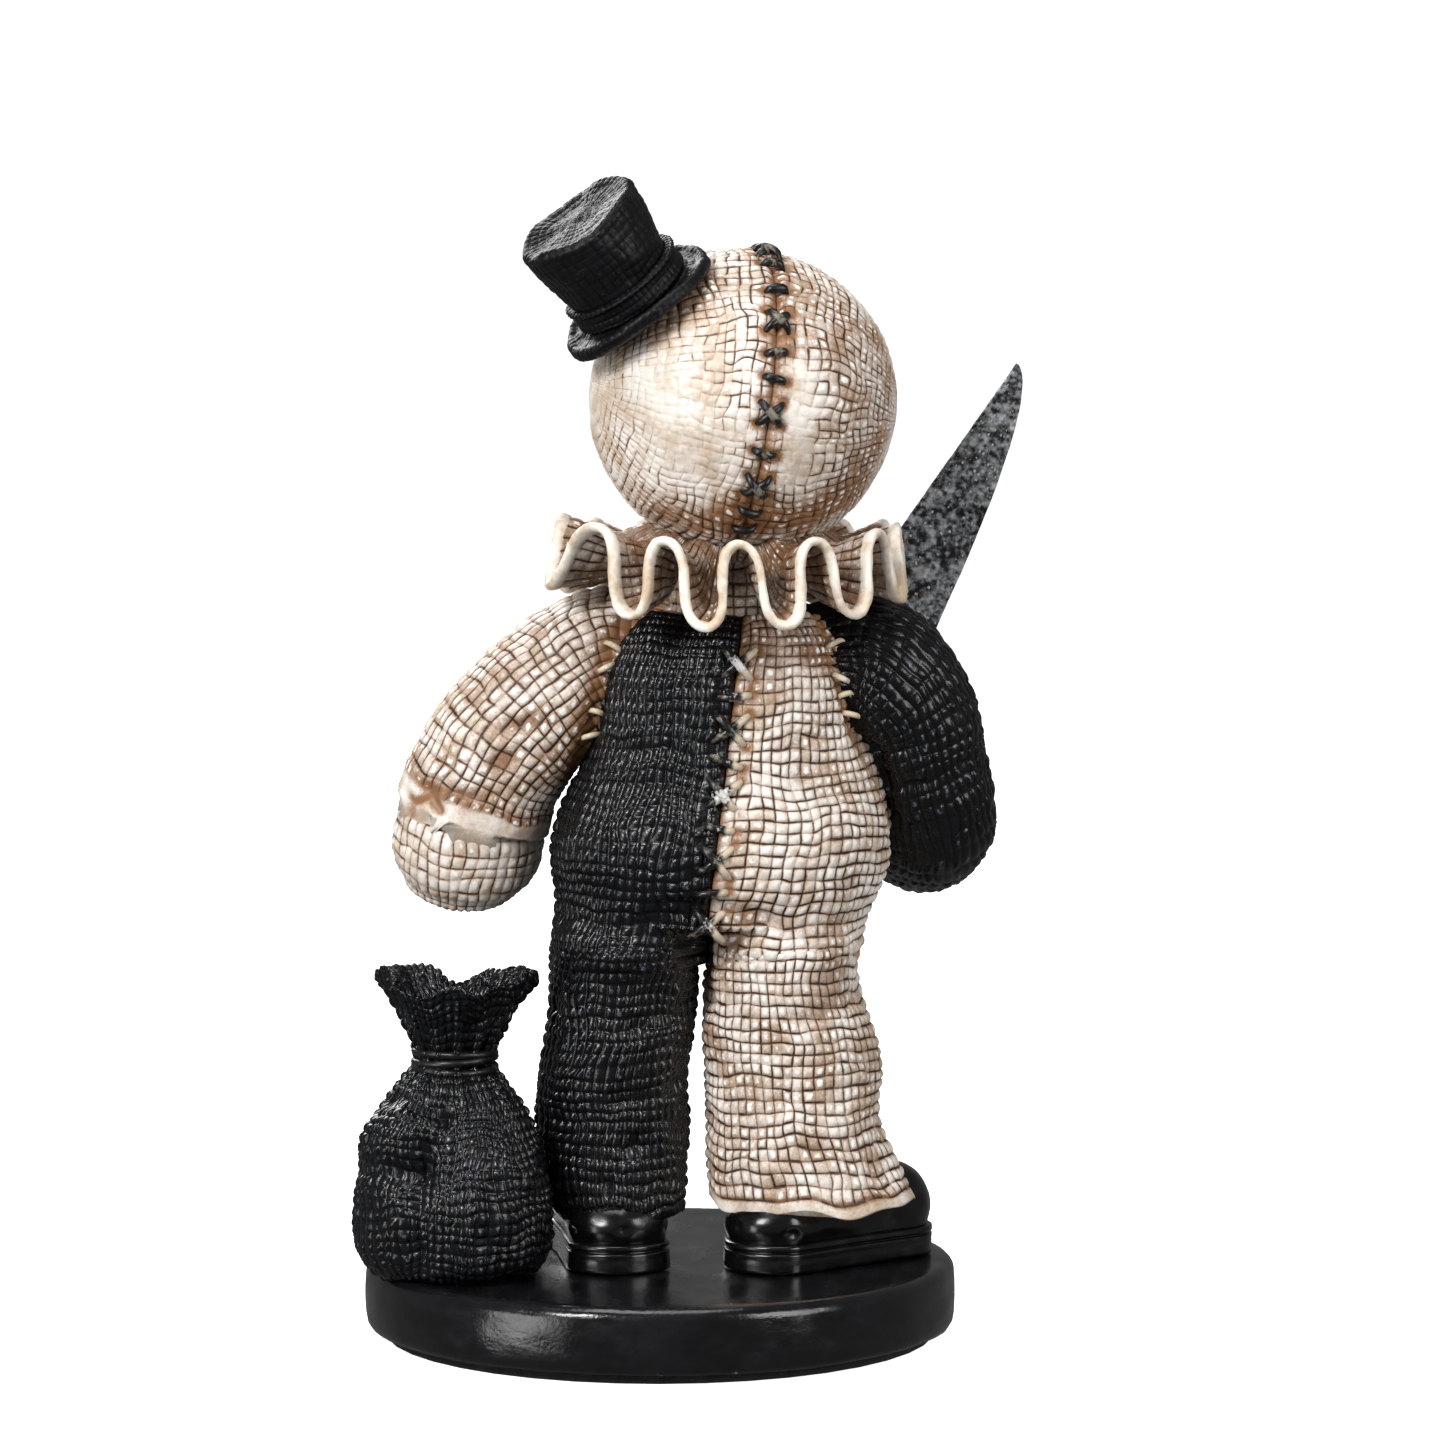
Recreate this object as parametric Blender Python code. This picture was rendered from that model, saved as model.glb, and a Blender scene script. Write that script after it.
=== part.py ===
"""Stitched burlap scarecrow clown on a round plinth, built as an assembly of separate pieces.

The figure stands with its face towards -Y, so its left side is +X. The origin is the middle of the
plinth's underside and +Z is up. Cloth pieces are solid cast pieces held together by rods and pegs.
"""

import math

import bmesh
import bpy
from mathutils import Matrix, Vector

MM = 0.001
GAP = 0.3 * MM

# Plinth
PLINTH_RADIUS = 40.2 * MM
PLINTH_TOP = 10.4 * MM
PLINTH_EDGE = 1.2 * MM
FELT_RADIUS = 37.5 * MM
FELT_THICKNESS = 1.0 * MM
PLINTH_SIDES = 48
FELT_SIDES = 40

# Shoes: the foot runs along its own +Y from heel to toe. UPPER_STEPS pairs how far the upper draws
# in, in millimetres, with the share of its height.
SOLE_THICKNESS = 3.6 * MM
SHOE_LENGTH = 33.0 * MM
SHOE_HALF_WIDTH = 7.8 * MM
HEEL_SHARE = 0.94
TOE_RISE_SHARE = 0.4
UPPER_STEPS = ((0.6, 0.0), (0.1, 0.25), (0.5, 0.55), (1.8, 0.82), (4.0, 1.0))
INSTEP_HEIGHT = 6.4 * MM
TOE_HEIGHT = 11.4 * MM
LEFT_HEEL = Vector((5.9, 8.6, 0.0)) * MM
RIGHT_HEEL = Vector((-16.2, 9.0, 0.0)) * MM
LEFT_TOE_OUT = math.radians(8)
RIGHT_TOE_OUT = math.radians(50)

# Trouser legs and torso, as level rings: x, y, z, half width, half depth in millimetres
HEM_Z = 17.6
HIP_Z = 54.0
LEFT_LEG_RINGS = (
    (5.8, 5.4, HEM_Z, 8.8, 9.6),
    (6.2, 5.2, 21.0, 9.7, 10.2),
    (6.4, 4.6, 28.0, 10.3, 10.6),
    (6.2, 4.4, 36.0, 10.3, 10.8),
    (5.2, 3.8, 44.0, 10.1, 11.4),
    (4.6, 3.2, 50.0, 10.3, 12.4),
    (4.5, 3.0, HIP_Z, 10.2, 13.0),
)
RIGHT_LEG_RINGS = (
    (-20.6, 4.6, HEM_Z, 14.0, 12.2),
    (-19.6, 4.8, 22.0, 12.9, 11.8),
    (-18.8, 4.6, 30.0, 11.9, 11.4),
    (-18.4, 4.2, 38.0, 11.2, 11.2),
    (-17.8, 3.8, 45.0, 11.3, 11.8),
    (-17.7, 3.2, 50.0, 11.4, 12.6),
    (-17.7, 3.0, HIP_Z, 11.3, 13.0),
)
TORSO_RINGS = (
    (-7.7, 2.6, HIP_Z + 0.3, 20.9, 14.4),
    (-7.9, 2.4, 60.5, 22.1, 16.4),
    (-8.2, 2.0, 66.0, 23.3, 17.8),
    (-8.7, 1.8, 71.0, 22.9, 17.6),
    (-9.2, 1.8, 76.5, 20.8, 16.4),
    (-9.6, 2.0, 83.0, 18.4, 15.0),
    (-9.8, 2.0, 90.5, 17.2, 14.0),
    (-10.0, 2.0, 96.0, 14.6, 12.4),
    (-10.2, 2.0, 99.4, 10.6, 9.6),
)
TORSO_SEAM_POINT = Vector((-6.2, 2.0, 57.0)) * MM
TORSO_SEAM_LOW = 57.0
TORSO_SEAM_HIGH = 94.0
TORSO_SEAM_SWAY = 1.7
TORSO_SEAM_STITCHES = 10
TORSO_SEAM_SLOPE = 0.118
TORSO_SEAM_NORMAL = Vector((1.0, 0.0, TORSO_SEAM_SLOPE)).normalized()

# Arms: path points with a radius at each, in millimetres
LEFT_SLEEVE_PATH = (
    (2.0, 1.5, 89.5, 8.2),
    (8.0, 1.0, 89.6, 9.6),
    (15.4, 0.0, 87.8, 10.8),
    (21.6, -1.0, 82.6, 11.0),
    (24.4, -2.0, 76.6, 11.0),
    (25.4, -3.0, 71.6, 10.9),
)
LEFT_HAND_PATH = (
    (25.52, -3.12, 71.0, 9.6),
    (26.0, -3.6, 68.6, 10.3),
    (26.5, -4.6, 65.2, 10.1),
    (26.9, -5.8, 61.8, 8.2),
    (27.2, -6.6, 59.6, 5.0),
)
LEFT_THUMB_PATH = (
    (22.0, -9.0, 66.4, 3.0),
    (22.2, -13.4, 65.0, 3.4),
    (23.0, -16.4, 62.6, 2.6),
)
RIGHT_SLEEVE_PATH = (
    (-21.0, 1.0, 89.8, 7.6),
    (-26.6, 0.2, 89.4, 9.2),
    (-31.8, -1.0, 85.2, 9.7),
    (-35.0, -2.6, 77.8, 9.4),
    (-36.8, -5.0, 71.0, 9.2),
    (-36.4, -10.0, 68.0, 8.9),
    (-33.2, -15.8, 69.2, 8.3),
    (-29.0, -20.2, 73.2, 7.9),
    (-26.6, -21.8, 76.2, 7.8),
)
RIGHT_HAND_PATH = (
    (-26.2, -22.1, 76.7, 5.8),
    (-24.4, -23.3, 79.0, 7.0),
    (-21.4, -24.4, 82.4, 7.5),
    (-18.6, -25.0, 85.4, 6.2),
    (-17.2, -25.2, 86.8, 3.8),
)

# Neck, collar and head
NECK_RADIUS = 8.6 * MM
NECK_BOTTOM = 99.7 * MM
NECK_TOP = 105.6 * MM
COLLAR_CENTRE = Vector((-10.0, 2.0, 0.0)) * MM
COLLAR_INNER = 9.6 * MM
COLLAR_OUTER = 24.0 * MM
COLLAR_THICKNESS = 1.5 * MM
COLLAR_RIM_SWELL = 0.8
COLLAR_STEPS_PER_WAVE = 8
COLLAR_WAVES = 13
COLLAR_PHASE = math.radians(-42)
COLLAR_MIDDLE_Z = 104.0 * MM
COLLAR_SIDE_LIFT = 1.9 * MM
COLLAR_WAVE_BACK = 5.8 * MM
COLLAR_WAVE_SIDE = 4.6 * MM
HEAD_CENTRE = Vector((-11.3, 2.0, 127.3)) * MM
HEAD_RADIUS = 20.7 * MM
HEAD_YAW = math.radians(9.8)
HEAD_ROLL = math.radians(7.6)
EYE_RADIUS = 3.7 * MM
EYE_THICKNESS = 1.3 * MM
EYE_SPREAD = math.radians(24)
EYE_RISE = math.radians(9)
EYE_HOLES = 4
EYE_HOLE_RING = 0.32
EYE_HOLE_SIZE = 0.14
NOSE_SIDE = 5.4 * MM
NOSE_THICKNESS = 1.1 * MM
NOSE_DROP = math.radians(-8)
MOUTH_SPREAD = math.radians(30)
MOUTH_DROP = math.radians(-35)
MOUTH_CURL = math.radians(13)
MOUTH_SWAY = math.radians(4)
MOUTH_STITCHES = 7
HEAD_SEAM_START = math.radians(-48)
HEAD_SEAM_SWEEP = math.radians(190)
HEAD_SEAM_SWAY = math.radians(5)
HEAD_SEAM_STITCHES = 18

# Top hat, along its own +Z from the brim
HAT_FOOT = Vector((3.0, 9.7, 141.2)) * MM
HAT_LEAN_SIDE = math.radians(36)
HAT_LEAN_BACK = math.radians(18)
BRIM_RADIUS = 11.3 * MM
BRIM_THICKNESS = 1.9 * MM
CROWN_FOOT_RADIUS = 7.5 * MM
CROWN_TOP_RADIUS = 8.9 * MM
CROWN_HEIGHT = 14.4 * MM
BAND_HEIGHT = 3.4 * MM
BAND_THICKNESS = 0.9 * MM
BRIM_EDGE = 0.4 * MM
CROWN_WAIST_SHARE = 0.3
CROWN_EDGE = 0.5 * MM
HAT_PEG_REACH = 8.0 * MM

# Knife, along its own +Z from the handle's butt to the blade's tip
KNIFE_TIP = Vector((-49.7, -24.2, 131.6)) * MM
KNIFE_LEAN = math.radians(35)
BLADE_LENGTH = 45.0 * MM
BLADE_WIDTH = 13.6 * MM
BLADE_SPINE = 3.4 * MM
BLADE_BELLY_POWER = 0.55
BLADE_BELLY_POINTS = 8
BLADE_SHOULDER = 0.4 * MM
BLADE_TIP_STEP = 0.01
BLADE_THICKNESS = 1.2 * MM
TANG_WIDTH = 3.6 * MM
HANDLE_LENGTH = 24.0 * MM
HANDLE_WIDTH = 5.4 * MM
SCALE_THICKNESS = 1.5 * MM
RIVET_RADIUS = 0.8 * MM
RIVET_SHARES = (0.2, 0.8)
RIVET_SINK = 0.05 * MM
SCALE_OUTLINE = (
    (0.8, 0.0), (-0.8, 0.0), (-0.72, 0.4), (-1.0, 0.85),
    (-0.7, 1.0), (0.7, 1.0), (1.0, 0.85), (0.72, 0.4),
)

# Sack
SACK_FOOT = Vector((27.6, 12.4, 0.0)) * MM
SACK_PROFILE = (
    (9.8, 10.7), (12.4, 13.0), (13.1, 18.0), (12.4, 24.0), (10.9, 31.0), (8.2, 36.0),
    (5.3, 38.6), (5.3, 40.4), (7.2, 44.0), (10.3, 49.6), (9.3, 50.4), (6.2, 45.6), (5.0, 44.6),
)
SACK_NECK_STEP = 6
TIE_RADIUS = 0.9 * MM

# Rods and pegs
ROD_RADIUS = 1.6 * MM
PEG_RADIUS = 1.3 * MM
HOLE_CLEARANCE = 0.3 * MM
THREAD_RADIUS = 0.4 * MM
RODS = {
    "left_leg_rod": ((6.0, 5.4, 4.0), (6.0, 5.4, 63.0), ROD_RADIUS),
    "right_leg_rod": ((-19.0, 4.6, 4.0), (-19.0, 4.6, 63.0), ROD_RADIUS),
    "neck_rod": ((-10.8, 2.0, 86.0), (-10.8, 2.0, 117.0), ROD_RADIUS),
    "left_shoulder_peg": ((-1.0, 1.2, 89.4), (13.0, 0.6, 88.6), PEG_RADIUS),
    "right_shoulder_peg": ((-19.0, 1.2, 89.8), (-31.0, 0.0, 87.6), PEG_RADIUS),
    "left_wrist_peg": ((24.8, -2.4, 76.0), (26.2, -4.2, 65.6), PEG_RADIUS),
    "right_wrist_peg": ((-29.6, -19.8, 72.6), (-24.8, -23.0, 78.2), PEG_RADIUS),
    "sack_peg": ((27.6, 12.4, 5.0), (27.6, 12.4, 22.0), ROD_RADIUS),
}

LOFT_SIDES = 20
TURNED_SIDES = 24
SHOE_ARC_POINTS = 9
ROD_SIDES = 12
TUBE_SIDES = 16
SMALL_SIDES = 8
HEAD_SIDES = 28
HEAD_ROWS = 18
TIE_SIDES = 6


def clear_scene():
    """Removes every object of the startup scene."""
    for obj in list(bpy.data.objects):
        bpy.data.objects.remove(obj)


def finish(name, colour, roughness, metallic=0.0):
    """A Principled material."""
    material = bpy.data.materials.new(name)
    material.use_nodes = True
    shader = material.node_tree.nodes["Principled BSDF"]
    shader.inputs["Base Color"].default_value = (*colour, 1.0)
    shader.inputs["Roughness"].default_value = roughness
    shader.inputs["Metallic"].default_value = metallic
    return material


def make_finishes():
    """The figure's painted and bare finishes."""
    return {
        "black_gloss": finish("black_gloss", (0.012, 0.012, 0.014), 0.3),
        "black_cloth": finish("black_cloth", (0.02, 0.02, 0.024), 0.42),
        "white_cloth": finish("white_cloth", (0.72, 0.64, 0.53), 0.55),
        "collar_cloth": finish("collar_cloth", (0.55, 0.42, 0.28), 0.6),
        "gunmetal": finish("gunmetal", (0.12, 0.12, 0.13), 0.4, 0.8),
        "handle": finish("handle", (0.05, 0.035, 0.03), 0.45),
        "thread": finish("thread", (0.015, 0.015, 0.015), 0.5),
        "steel": finish("steel", (0.5, 0.5, 0.52), 0.35, 1.0),
        "felt": finish("felt", (0.03, 0.03, 0.03), 0.95),
    }


def add_object(name, mesh, material, matrix=None):
    """A named object, shaded smooth with crisp edges."""
    mesh.shade_smooth()
    mesh.set_sharp_from_angle(angle=math.radians(40))
    mesh.materials.append(material)
    obj = bpy.data.objects.new(name, mesh)
    obj.matrix_world = matrix or Matrix.Identity(4)
    bpy.context.scene.collection.objects.link(obj)
    return obj


def to_mesh(name, bm):
    """The bmesh as a mesh whose faces point out."""
    bmesh.ops.recalc_face_normals(bm, faces=bm.faces)
    mesh = bpy.data.meshes.new(name)
    bm.to_mesh(mesh)
    bm.free()
    return mesh


def cap_flat(bm, row):
    """One face over a loop."""
    bm.faces.new(row)


def cap_across(bm, row):
    """Faces from side to side over a shoe's outline, so that the cap bends only along the foot."""
    count = len(row)
    heel = (SHOE_ARC_POINTS - 1) // 2
    for k in range(SHOE_ARC_POINTS):
        corners = (heel + k, heel + k + 1, heel - k - 1, heel - k)
        bm.faces.new([row[i] for i in dict.fromkeys(corner % count for corner in corners)])


def skin_loops(bm, loops, cap=cap_flat):
    """Quads between neighbouring loops of points, and a cap on each end."""
    rows = [[bm.verts.new(point) for point in loop] for loop in loops]
    for lower, upper in zip(rows, rows[1:]):
        for i in range(len(lower)):
            j = (i + 1) % len(lower)
            bm.faces.new((lower[i], lower[j], upper[j], upper[i]))
    cap(bm, rows[0])
    cap(bm, rows[-1])


def level_loop(ring, grow=0.0, sides=LOFT_SIDES):
    """The points of one level elliptical ring, in metres."""
    x, y, z, half_width, half_depth = ring
    turns = (2 * math.pi * i / sides for i in range(sides))
    return [
        Vector((
            x * MM + (half_width * MM + grow) * math.cos(turn),
            y * MM + (half_depth * MM + grow) * math.sin(turn),
            z * MM,
        ))
        for turn in turns
    ]


def level_mesh(name, rings, grow=0.0, end_grow=0.0):
    """A solid through level rings. end_grow lengthens both ends."""
    loops = [level_loop(ring, grow) for ring in rings]
    for point in loops[0]:
        point.z -= end_grow
    for point in loops[-1]:
        point.z += end_grow
    bm = bmesh.new()
    skin_loops(bm, loops)
    return to_mesh(name, bm)


def path_loops(path, grow=0.0, sides=TUBE_SIDES):
    """Round loops square to a path, with no twist from one to the next."""
    centres = [Vector(point[:3]) * MM for point in path]
    last = len(centres) - 1
    side = Vector((0.0, 1.0, 0.0))
    loops = []
    for i, centre in enumerate(centres):
        along = (centres[min(i + 1, last)] - centres[max(i - 1, 0)]).normalized()
        side = (side - along * side.dot(along)).normalized()
        across = along.cross(side)
        radius = path[i][3] * MM + grow
        turns = (2 * math.pi * k / sides for k in range(sides))
        loops.append([
            centre + (side * math.cos(turn) + across * math.sin(turn)) * radius for turn in turns
        ])
    return loops


def path_mesh(name, path, grow=0.0):
    """A round solid of changing radius along a path."""
    bm = bmesh.new()
    skin_loops(bm, path_loops(path, grow))
    return to_mesh(name, bm)


def turned_mesh(name, profile, sides=TURNED_SIDES, closed_ring=False):
    """A turned solid about Z from (radius, height) pairs in metres. closed_ring leaves a hole."""
    bm = bmesh.new()
    loops = [
        [
            Vector((
                radius * math.cos(2 * math.pi * i / sides),
                radius * math.sin(2 * math.pi * i / sides),
                height,
            ))
            for i in range(sides)
        ]
        for radius, height in profile
    ]
    if not closed_ring:
        skin_loops(bm, loops)
        return to_mesh(name, bm)
    rows = [[bm.verts.new(point) for point in loop] for loop in loops]
    for lower, upper in zip(rows, rows[1:] + rows[:1]):
        for i in range(sides):
            j = (i + 1) % sides
            bm.faces.new((lower[i], lower[j], upper[j], upper[i]))
    return to_mesh(name, bm)


def plate_mesh(name, outline, thickness):
    """A flat plate in the XZ plane, centred on Y, from (x, z) corners in metres."""
    bm = bmesh.new()
    face = bm.faces.new([bm.verts.new((x, -thickness / 2, z)) for x, z in outline])
    made = bmesh.ops.extrude_face_region(bm, geom=[face])
    moved = [item for item in made["geom"] if isinstance(item, bmesh.types.BMVert)]
    bmesh.ops.translate(bm, verts=moved, vec=(0.0, thickness, 0.0))
    return to_mesh(name, bm)


def cylinder_between(name, start, end, radius, material, sides=ROD_SIDES):
    """A rod from one point to another."""
    along = end - start
    bm = bmesh.new()
    bmesh.ops.create_cone(
        bm, cap_ends=True, segments=sides, radius1=radius, radius2=radius, depth=along.length
    )
    turn = along.to_track_quat("Z", "Y").to_matrix().to_4x4()
    matrix = Matrix.Translation((start + end) / 2) @ turn
    return add_object(name, to_mesh(name, bm), material, matrix)


def hide(cutter):
    """Marks a cutter, which is no part of the figure."""
    cutter.hide_render = True
    cutter.display_type = "WIRE"
    return cutter


def subtract(obj, cutter):
    """Cuts one object's shape out of another."""
    modifier = obj.modifiers.new("cut_" + cutter.name, "BOOLEAN")
    modifier.operation = "DIFFERENCE"
    modifier.solver = "EXACT"
    modifier.object = cutter


def join_shape(obj, extra):
    """Adds a hidden helper's shape to an object."""
    modifier = obj.modifiers.new("join_" + extra.name, "BOOLEAN")
    modifier.operation = "UNION"
    modifier.solver = "EXACT"
    modifier.object = extra


def pin_through(name, start, end, radius, material, *holders):
    """A rod, and a clearance hole for it in every piece that holds it."""
    along = (end - start).normalized()
    rod = cylinder_between(name, start, end, radius, material)
    drill = cylinder_between(
        name + "_hole", start - along * GAP, end + along * GAP, radius + HOLE_CLEARANCE, material
    )
    hide(drill)
    for holder in holders:
        subtract(holder, drill)
    return rod


def keep_side(mesh, point, normal):
    """Cuts a closed mesh at a plane and keeps the part that the normal points to."""
    bm = bmesh.new()
    bm.from_mesh(mesh)
    cut = bmesh.ops.bisect_plane(
        bm, geom=bm.verts[:] + bm.edges[:] + bm.faces[:], plane_co=point, plane_no=normal,
        clear_inner=True,
    )
    edges = [item for item in cut["geom_cut"] if isinstance(item, bmesh.types.BMEdge)]
    bmesh.ops.contextual_create(bm, geom=edges)
    bmesh.ops.recalc_face_normals(bm, faces=bm.faces)
    bm.to_mesh(mesh)
    bm.free()
    return mesh


def thread_object(name, points, material):
    """A thread along a list of points, six-sided."""
    curve = bpy.data.curves.new(name, "CURVE")
    curve.dimensions = "3D"
    curve.bevel_depth = THREAD_RADIUS
    curve.bevel_resolution = 1
    curve.use_fill_caps = True
    spline = curve.splines.new("POLY")
    spline.points.add(len(points) - 1)
    for item, point in zip(spline.points, points):
        item.co = (*point, 1.0)
    curve.materials.append(material)
    obj = bpy.data.objects.new(name, curve)
    bpy.context.scene.collection.objects.link(obj)
    return obj


def ring_at(rings, z):
    """The level ring at a height in millimetres, between the listed ones."""
    for lower, upper in zip(rings, rings[1:]):
        if z <= upper[2]:
            share = (z - lower[2]) / (upper[2] - lower[2])
            return tuple(a + (b - a) * share for a, b in zip(lower, upper))
    return rings[-1]


def head_matrix():
    """The head's own frame: -Y is the face, +X its left, +Z its crown."""
    turn = Matrix.Rotation(HEAD_YAW, 4, "Z")
    roll = Matrix.Rotation(-HEAD_ROLL, 4, "Y")
    return Matrix.Translation(HEAD_CENTRE) @ turn @ roll


def head_point(side, rise, radius):
    """A point over the head in its own frame. side turns from the face to +X, rise lifts."""
    return Vector((
        math.sin(side) * math.cos(rise), -math.cos(side) * math.cos(rise), math.sin(rise),
    )) * radius


def make_plinth(looks):
    """The felt pad and the round plinth over it."""
    pad_profile = ((FELT_RADIUS, 0.0), (FELT_RADIUS, FELT_THICKNESS))
    pad = turned_mesh("felt_pad", pad_profile, FELT_SIDES)
    foot = FELT_THICKNESS + GAP
    edge = PLINTH_EDGE
    profile = (
        (PLINTH_RADIUS - edge, foot),
        (PLINTH_RADIUS, foot + edge),
        (PLINTH_RADIUS, PLINTH_TOP - edge),
        (PLINTH_RADIUS - edge, PLINTH_TOP),
    )
    disc = turned_mesh("plinth", profile, PLINTH_SIDES)
    return (
        add_object("felt_pad", pad, looks["felt"]),
        add_object("plinth", disc, looks["black_gloss"]),
    )


def shoe_outline(inset=0.0):
    """The sole's outline: a round heel and a wider round toe, heel end at the back."""
    heel = SHOE_HALF_WIDTH * HEEL_SHARE - inset
    toe = SHOE_HALF_WIDTH - inset
    reach = SHOE_LENGTH - SHOE_HALF_WIDTH * 2
    outline = []
    for i in range(SHOE_ARC_POINTS):
        turn = math.pi * i / (SHOE_ARC_POINTS - 1)
        outline.append((heel * math.cos(turn), -heel * math.sin(turn)))
    for i in range(SHOE_ARC_POINTS):
        turn = math.pi + math.pi * i / (SHOE_ARC_POINTS - 1)
        outline.append((toe * math.cos(turn), reach - toe * math.sin(turn)))
    return outline


def upper_mesh(grow=0.0):
    """The shoe's upper: low round the heel and full over the toes."""
    bottom = SOLE_THICKNESS + GAP
    loops = []
    for inset, lift in UPPER_STEPS:
        loop = []
        for x, y in shoe_outline(inset * MM - grow):
            rise = min(max(y / (SHOE_LENGTH * TOE_RISE_SHARE), 0.0), 1.0)
            top = INSTEP_HEIGHT + (TOE_HEIGHT - INSTEP_HEIGHT) * rise * rise * (3 - 2 * rise)
            loop.append(Vector((x, y, bottom - grow + (top - bottom + 2 * grow) * lift)))
        loops.append(loop)
    bm = bmesh.new()
    skin_loops(bm, loops, cap_across)
    return to_mesh("upper", bm)


def make_shoe(side, heel, toe_out, looks):
    """A shoe's sole and upper, and a cutter that makes room for the upper in the trouser leg."""
    matrix = Matrix.Translation(heel + Vector((0, 0, PLINTH_TOP + GAP)))
    matrix = matrix @ Matrix.Rotation(math.pi + toe_out, 4, "Z")
    bm = bmesh.new()
    skin_loops(bm, [[Vector((x, y, z)) for x, y in shoe_outline()] for z in (0.0, SOLE_THICKNESS)])
    sole = add_object(f"{side}_shoe_sole", to_mesh("sole", bm), looks["black_gloss"], matrix)
    upper = add_object(f"{side}_shoe_upper", upper_mesh(), looks["black_gloss"], matrix)
    room = hide(add_object(f"{side}_shoe_room", upper_mesh(GAP), looks["black_gloss"], matrix))
    return sole, upper, room


def make_leg(side, rings, shoe_room, material):
    """A trouser leg from hem to hip, over the shoe's upper."""
    leg = add_object(f"{side}_trouser_leg", level_mesh("leg", rings), material)
    subtract(leg, shoe_room)
    return leg


def make_torso(looks):
    """The two torso panels, parted at the sewn centre seam."""
    half_gap = TORSO_SEAM_NORMAL * (GAP / 2)
    panels = []
    for side, way, look in (("left", 1, "black_cloth"), ("right", -1, "white_cloth")):
        mesh = level_mesh(f"{side}_torso", TORSO_RINGS)
        keep_side(mesh, TORSO_SEAM_POINT + half_gap * way, TORSO_SEAM_NORMAL * way)
        panels.append(add_object(f"{side}_torso_panel", mesh, looks[look]))
    return panels


def make_sleeve(side, path, torso_cutter, material):
    """A sleeve from the shoulder to the cuff, fitted to the torso's side."""
    sleeve = add_object(f"{side}_sleeve", path_mesh("sleeve", path), material)
    subtract(sleeve, torso_cutter)
    return sleeve


def make_left_hand(looks):
    """The hanging mitten and its thumb."""
    hand = add_object("left_hand", path_mesh("hand", LEFT_HAND_PATH), looks["white_cloth"])
    thumb = hide(add_object("left_thumb", path_mesh("thumb", LEFT_THUMB_PATH), looks["white_cloth"]))
    join_shape(hand, thumb)
    return hand


def knife_matrix():
    """The knife's own frame, with its origin where the blade leaves the handle."""
    lean = Matrix.Rotation(-KNIFE_LEAN, 4, "Y")
    heel = KNIFE_TIP - lean @ Vector((BLADE_SPINE, 0.0, BLADE_LENGTH))
    return Matrix.Translation(heel) @ lean


def make_knife(looks):
    """Blade with its tang, two handle scales and two rivets."""
    matrix = knife_matrix()
    half = TANG_WIDTH / 2
    outline = [(half, GAP - HANDLE_LENGTH), (half, 0.0), (BLADE_SPINE, BLADE_SHOULDER)]
    outline.append((BLADE_SPINE, BLADE_LENGTH))
    for i in range(BLADE_BELLY_POINTS):
        down = BLADE_TIP_STEP + (1 - BLADE_TIP_STEP) * (i / (BLADE_BELLY_POINTS - 1)) ** 1.4
        belly = BLADE_SPINE - BLADE_WIDTH * down ** BLADE_BELLY_POWER
        outline.append((belly, BLADE_LENGTH * (1 - down) + BLADE_SHOULDER))
    outline += [(-half, 0.0), (-half, GAP - HANDLE_LENGTH)]
    plate = plate_mesh("blade", outline, BLADE_THICKNESS)
    blade = add_object("knife_blade", plate, looks["gunmetal"], matrix)
    scales = []
    offset = BLADE_THICKNESS / 2 + GAP + SCALE_THICKNESS / 2
    length = HANDLE_LENGTH - GAP
    shape = [(across * HANDLE_WIDTH / 2, -GAP - down * length) for across, down in SCALE_OUTLINE]
    for name, way in (("knife_scale_front", -1), ("knife_scale_back", 1)):
        place = matrix @ Matrix.Translation((0.0, way * offset, 0.0))
        scale = plate_mesh("scale", shape, SCALE_THICKNESS)
        scales.append(add_object(name, scale, looks["handle"], place))
    reach = offset + SCALE_THICKNESS / 2 - RIVET_SINK
    for i, share in enumerate(RIVET_SHARES, start=1):
        middle = Vector((0.0, 0.0, -HANDLE_LENGTH * share))
        ends = [matrix @ (middle + Vector((0.0, way * reach, 0.0))) for way in (-1, 1)]
        pin_through(f"knife_rivet_{i}", *ends, RIVET_RADIUS, looks["steel"], blade, *scales)


def make_right_hand(looks):
    """The fist, with the knife handle's slot through it."""
    hand = add_object("right_hand", path_mesh("hand", RIGHT_HAND_PATH), looks["black_cloth"])
    wide = HANDLE_WIDTH / 2 + GAP
    deep = BLADE_THICKNESS + 2 * (SCALE_THICKNESS + 2 * GAP)
    past = HANDLE_LENGTH * 1.1
    broad = BLADE_WIDTH
    outline = (
        (wide, -past), (wide, 0.0), (broad, 0.0), (broad, past),
        (-broad, past), (-broad, 0.0), (-wide, 0.0), (-wide, -past),
    )
    plate = plate_mesh("slot", outline, deep)
    slot = hide(add_object("handle_slot", plate, looks["steel"], knife_matrix()))
    subtract(hand, slot)
    return hand


def collar_height(turn):
    """Middle height and wave size of the ruffle at a turn round the neck."""
    to_side = math.cos(turn) ** 2
    middle = COLLAR_MIDDLE_Z + COLLAR_SIDE_LIFT * to_side
    wave = COLLAR_WAVE_BACK + (COLLAR_WAVE_SIDE - COLLAR_WAVE_BACK) * to_side
    return middle, wave


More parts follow.
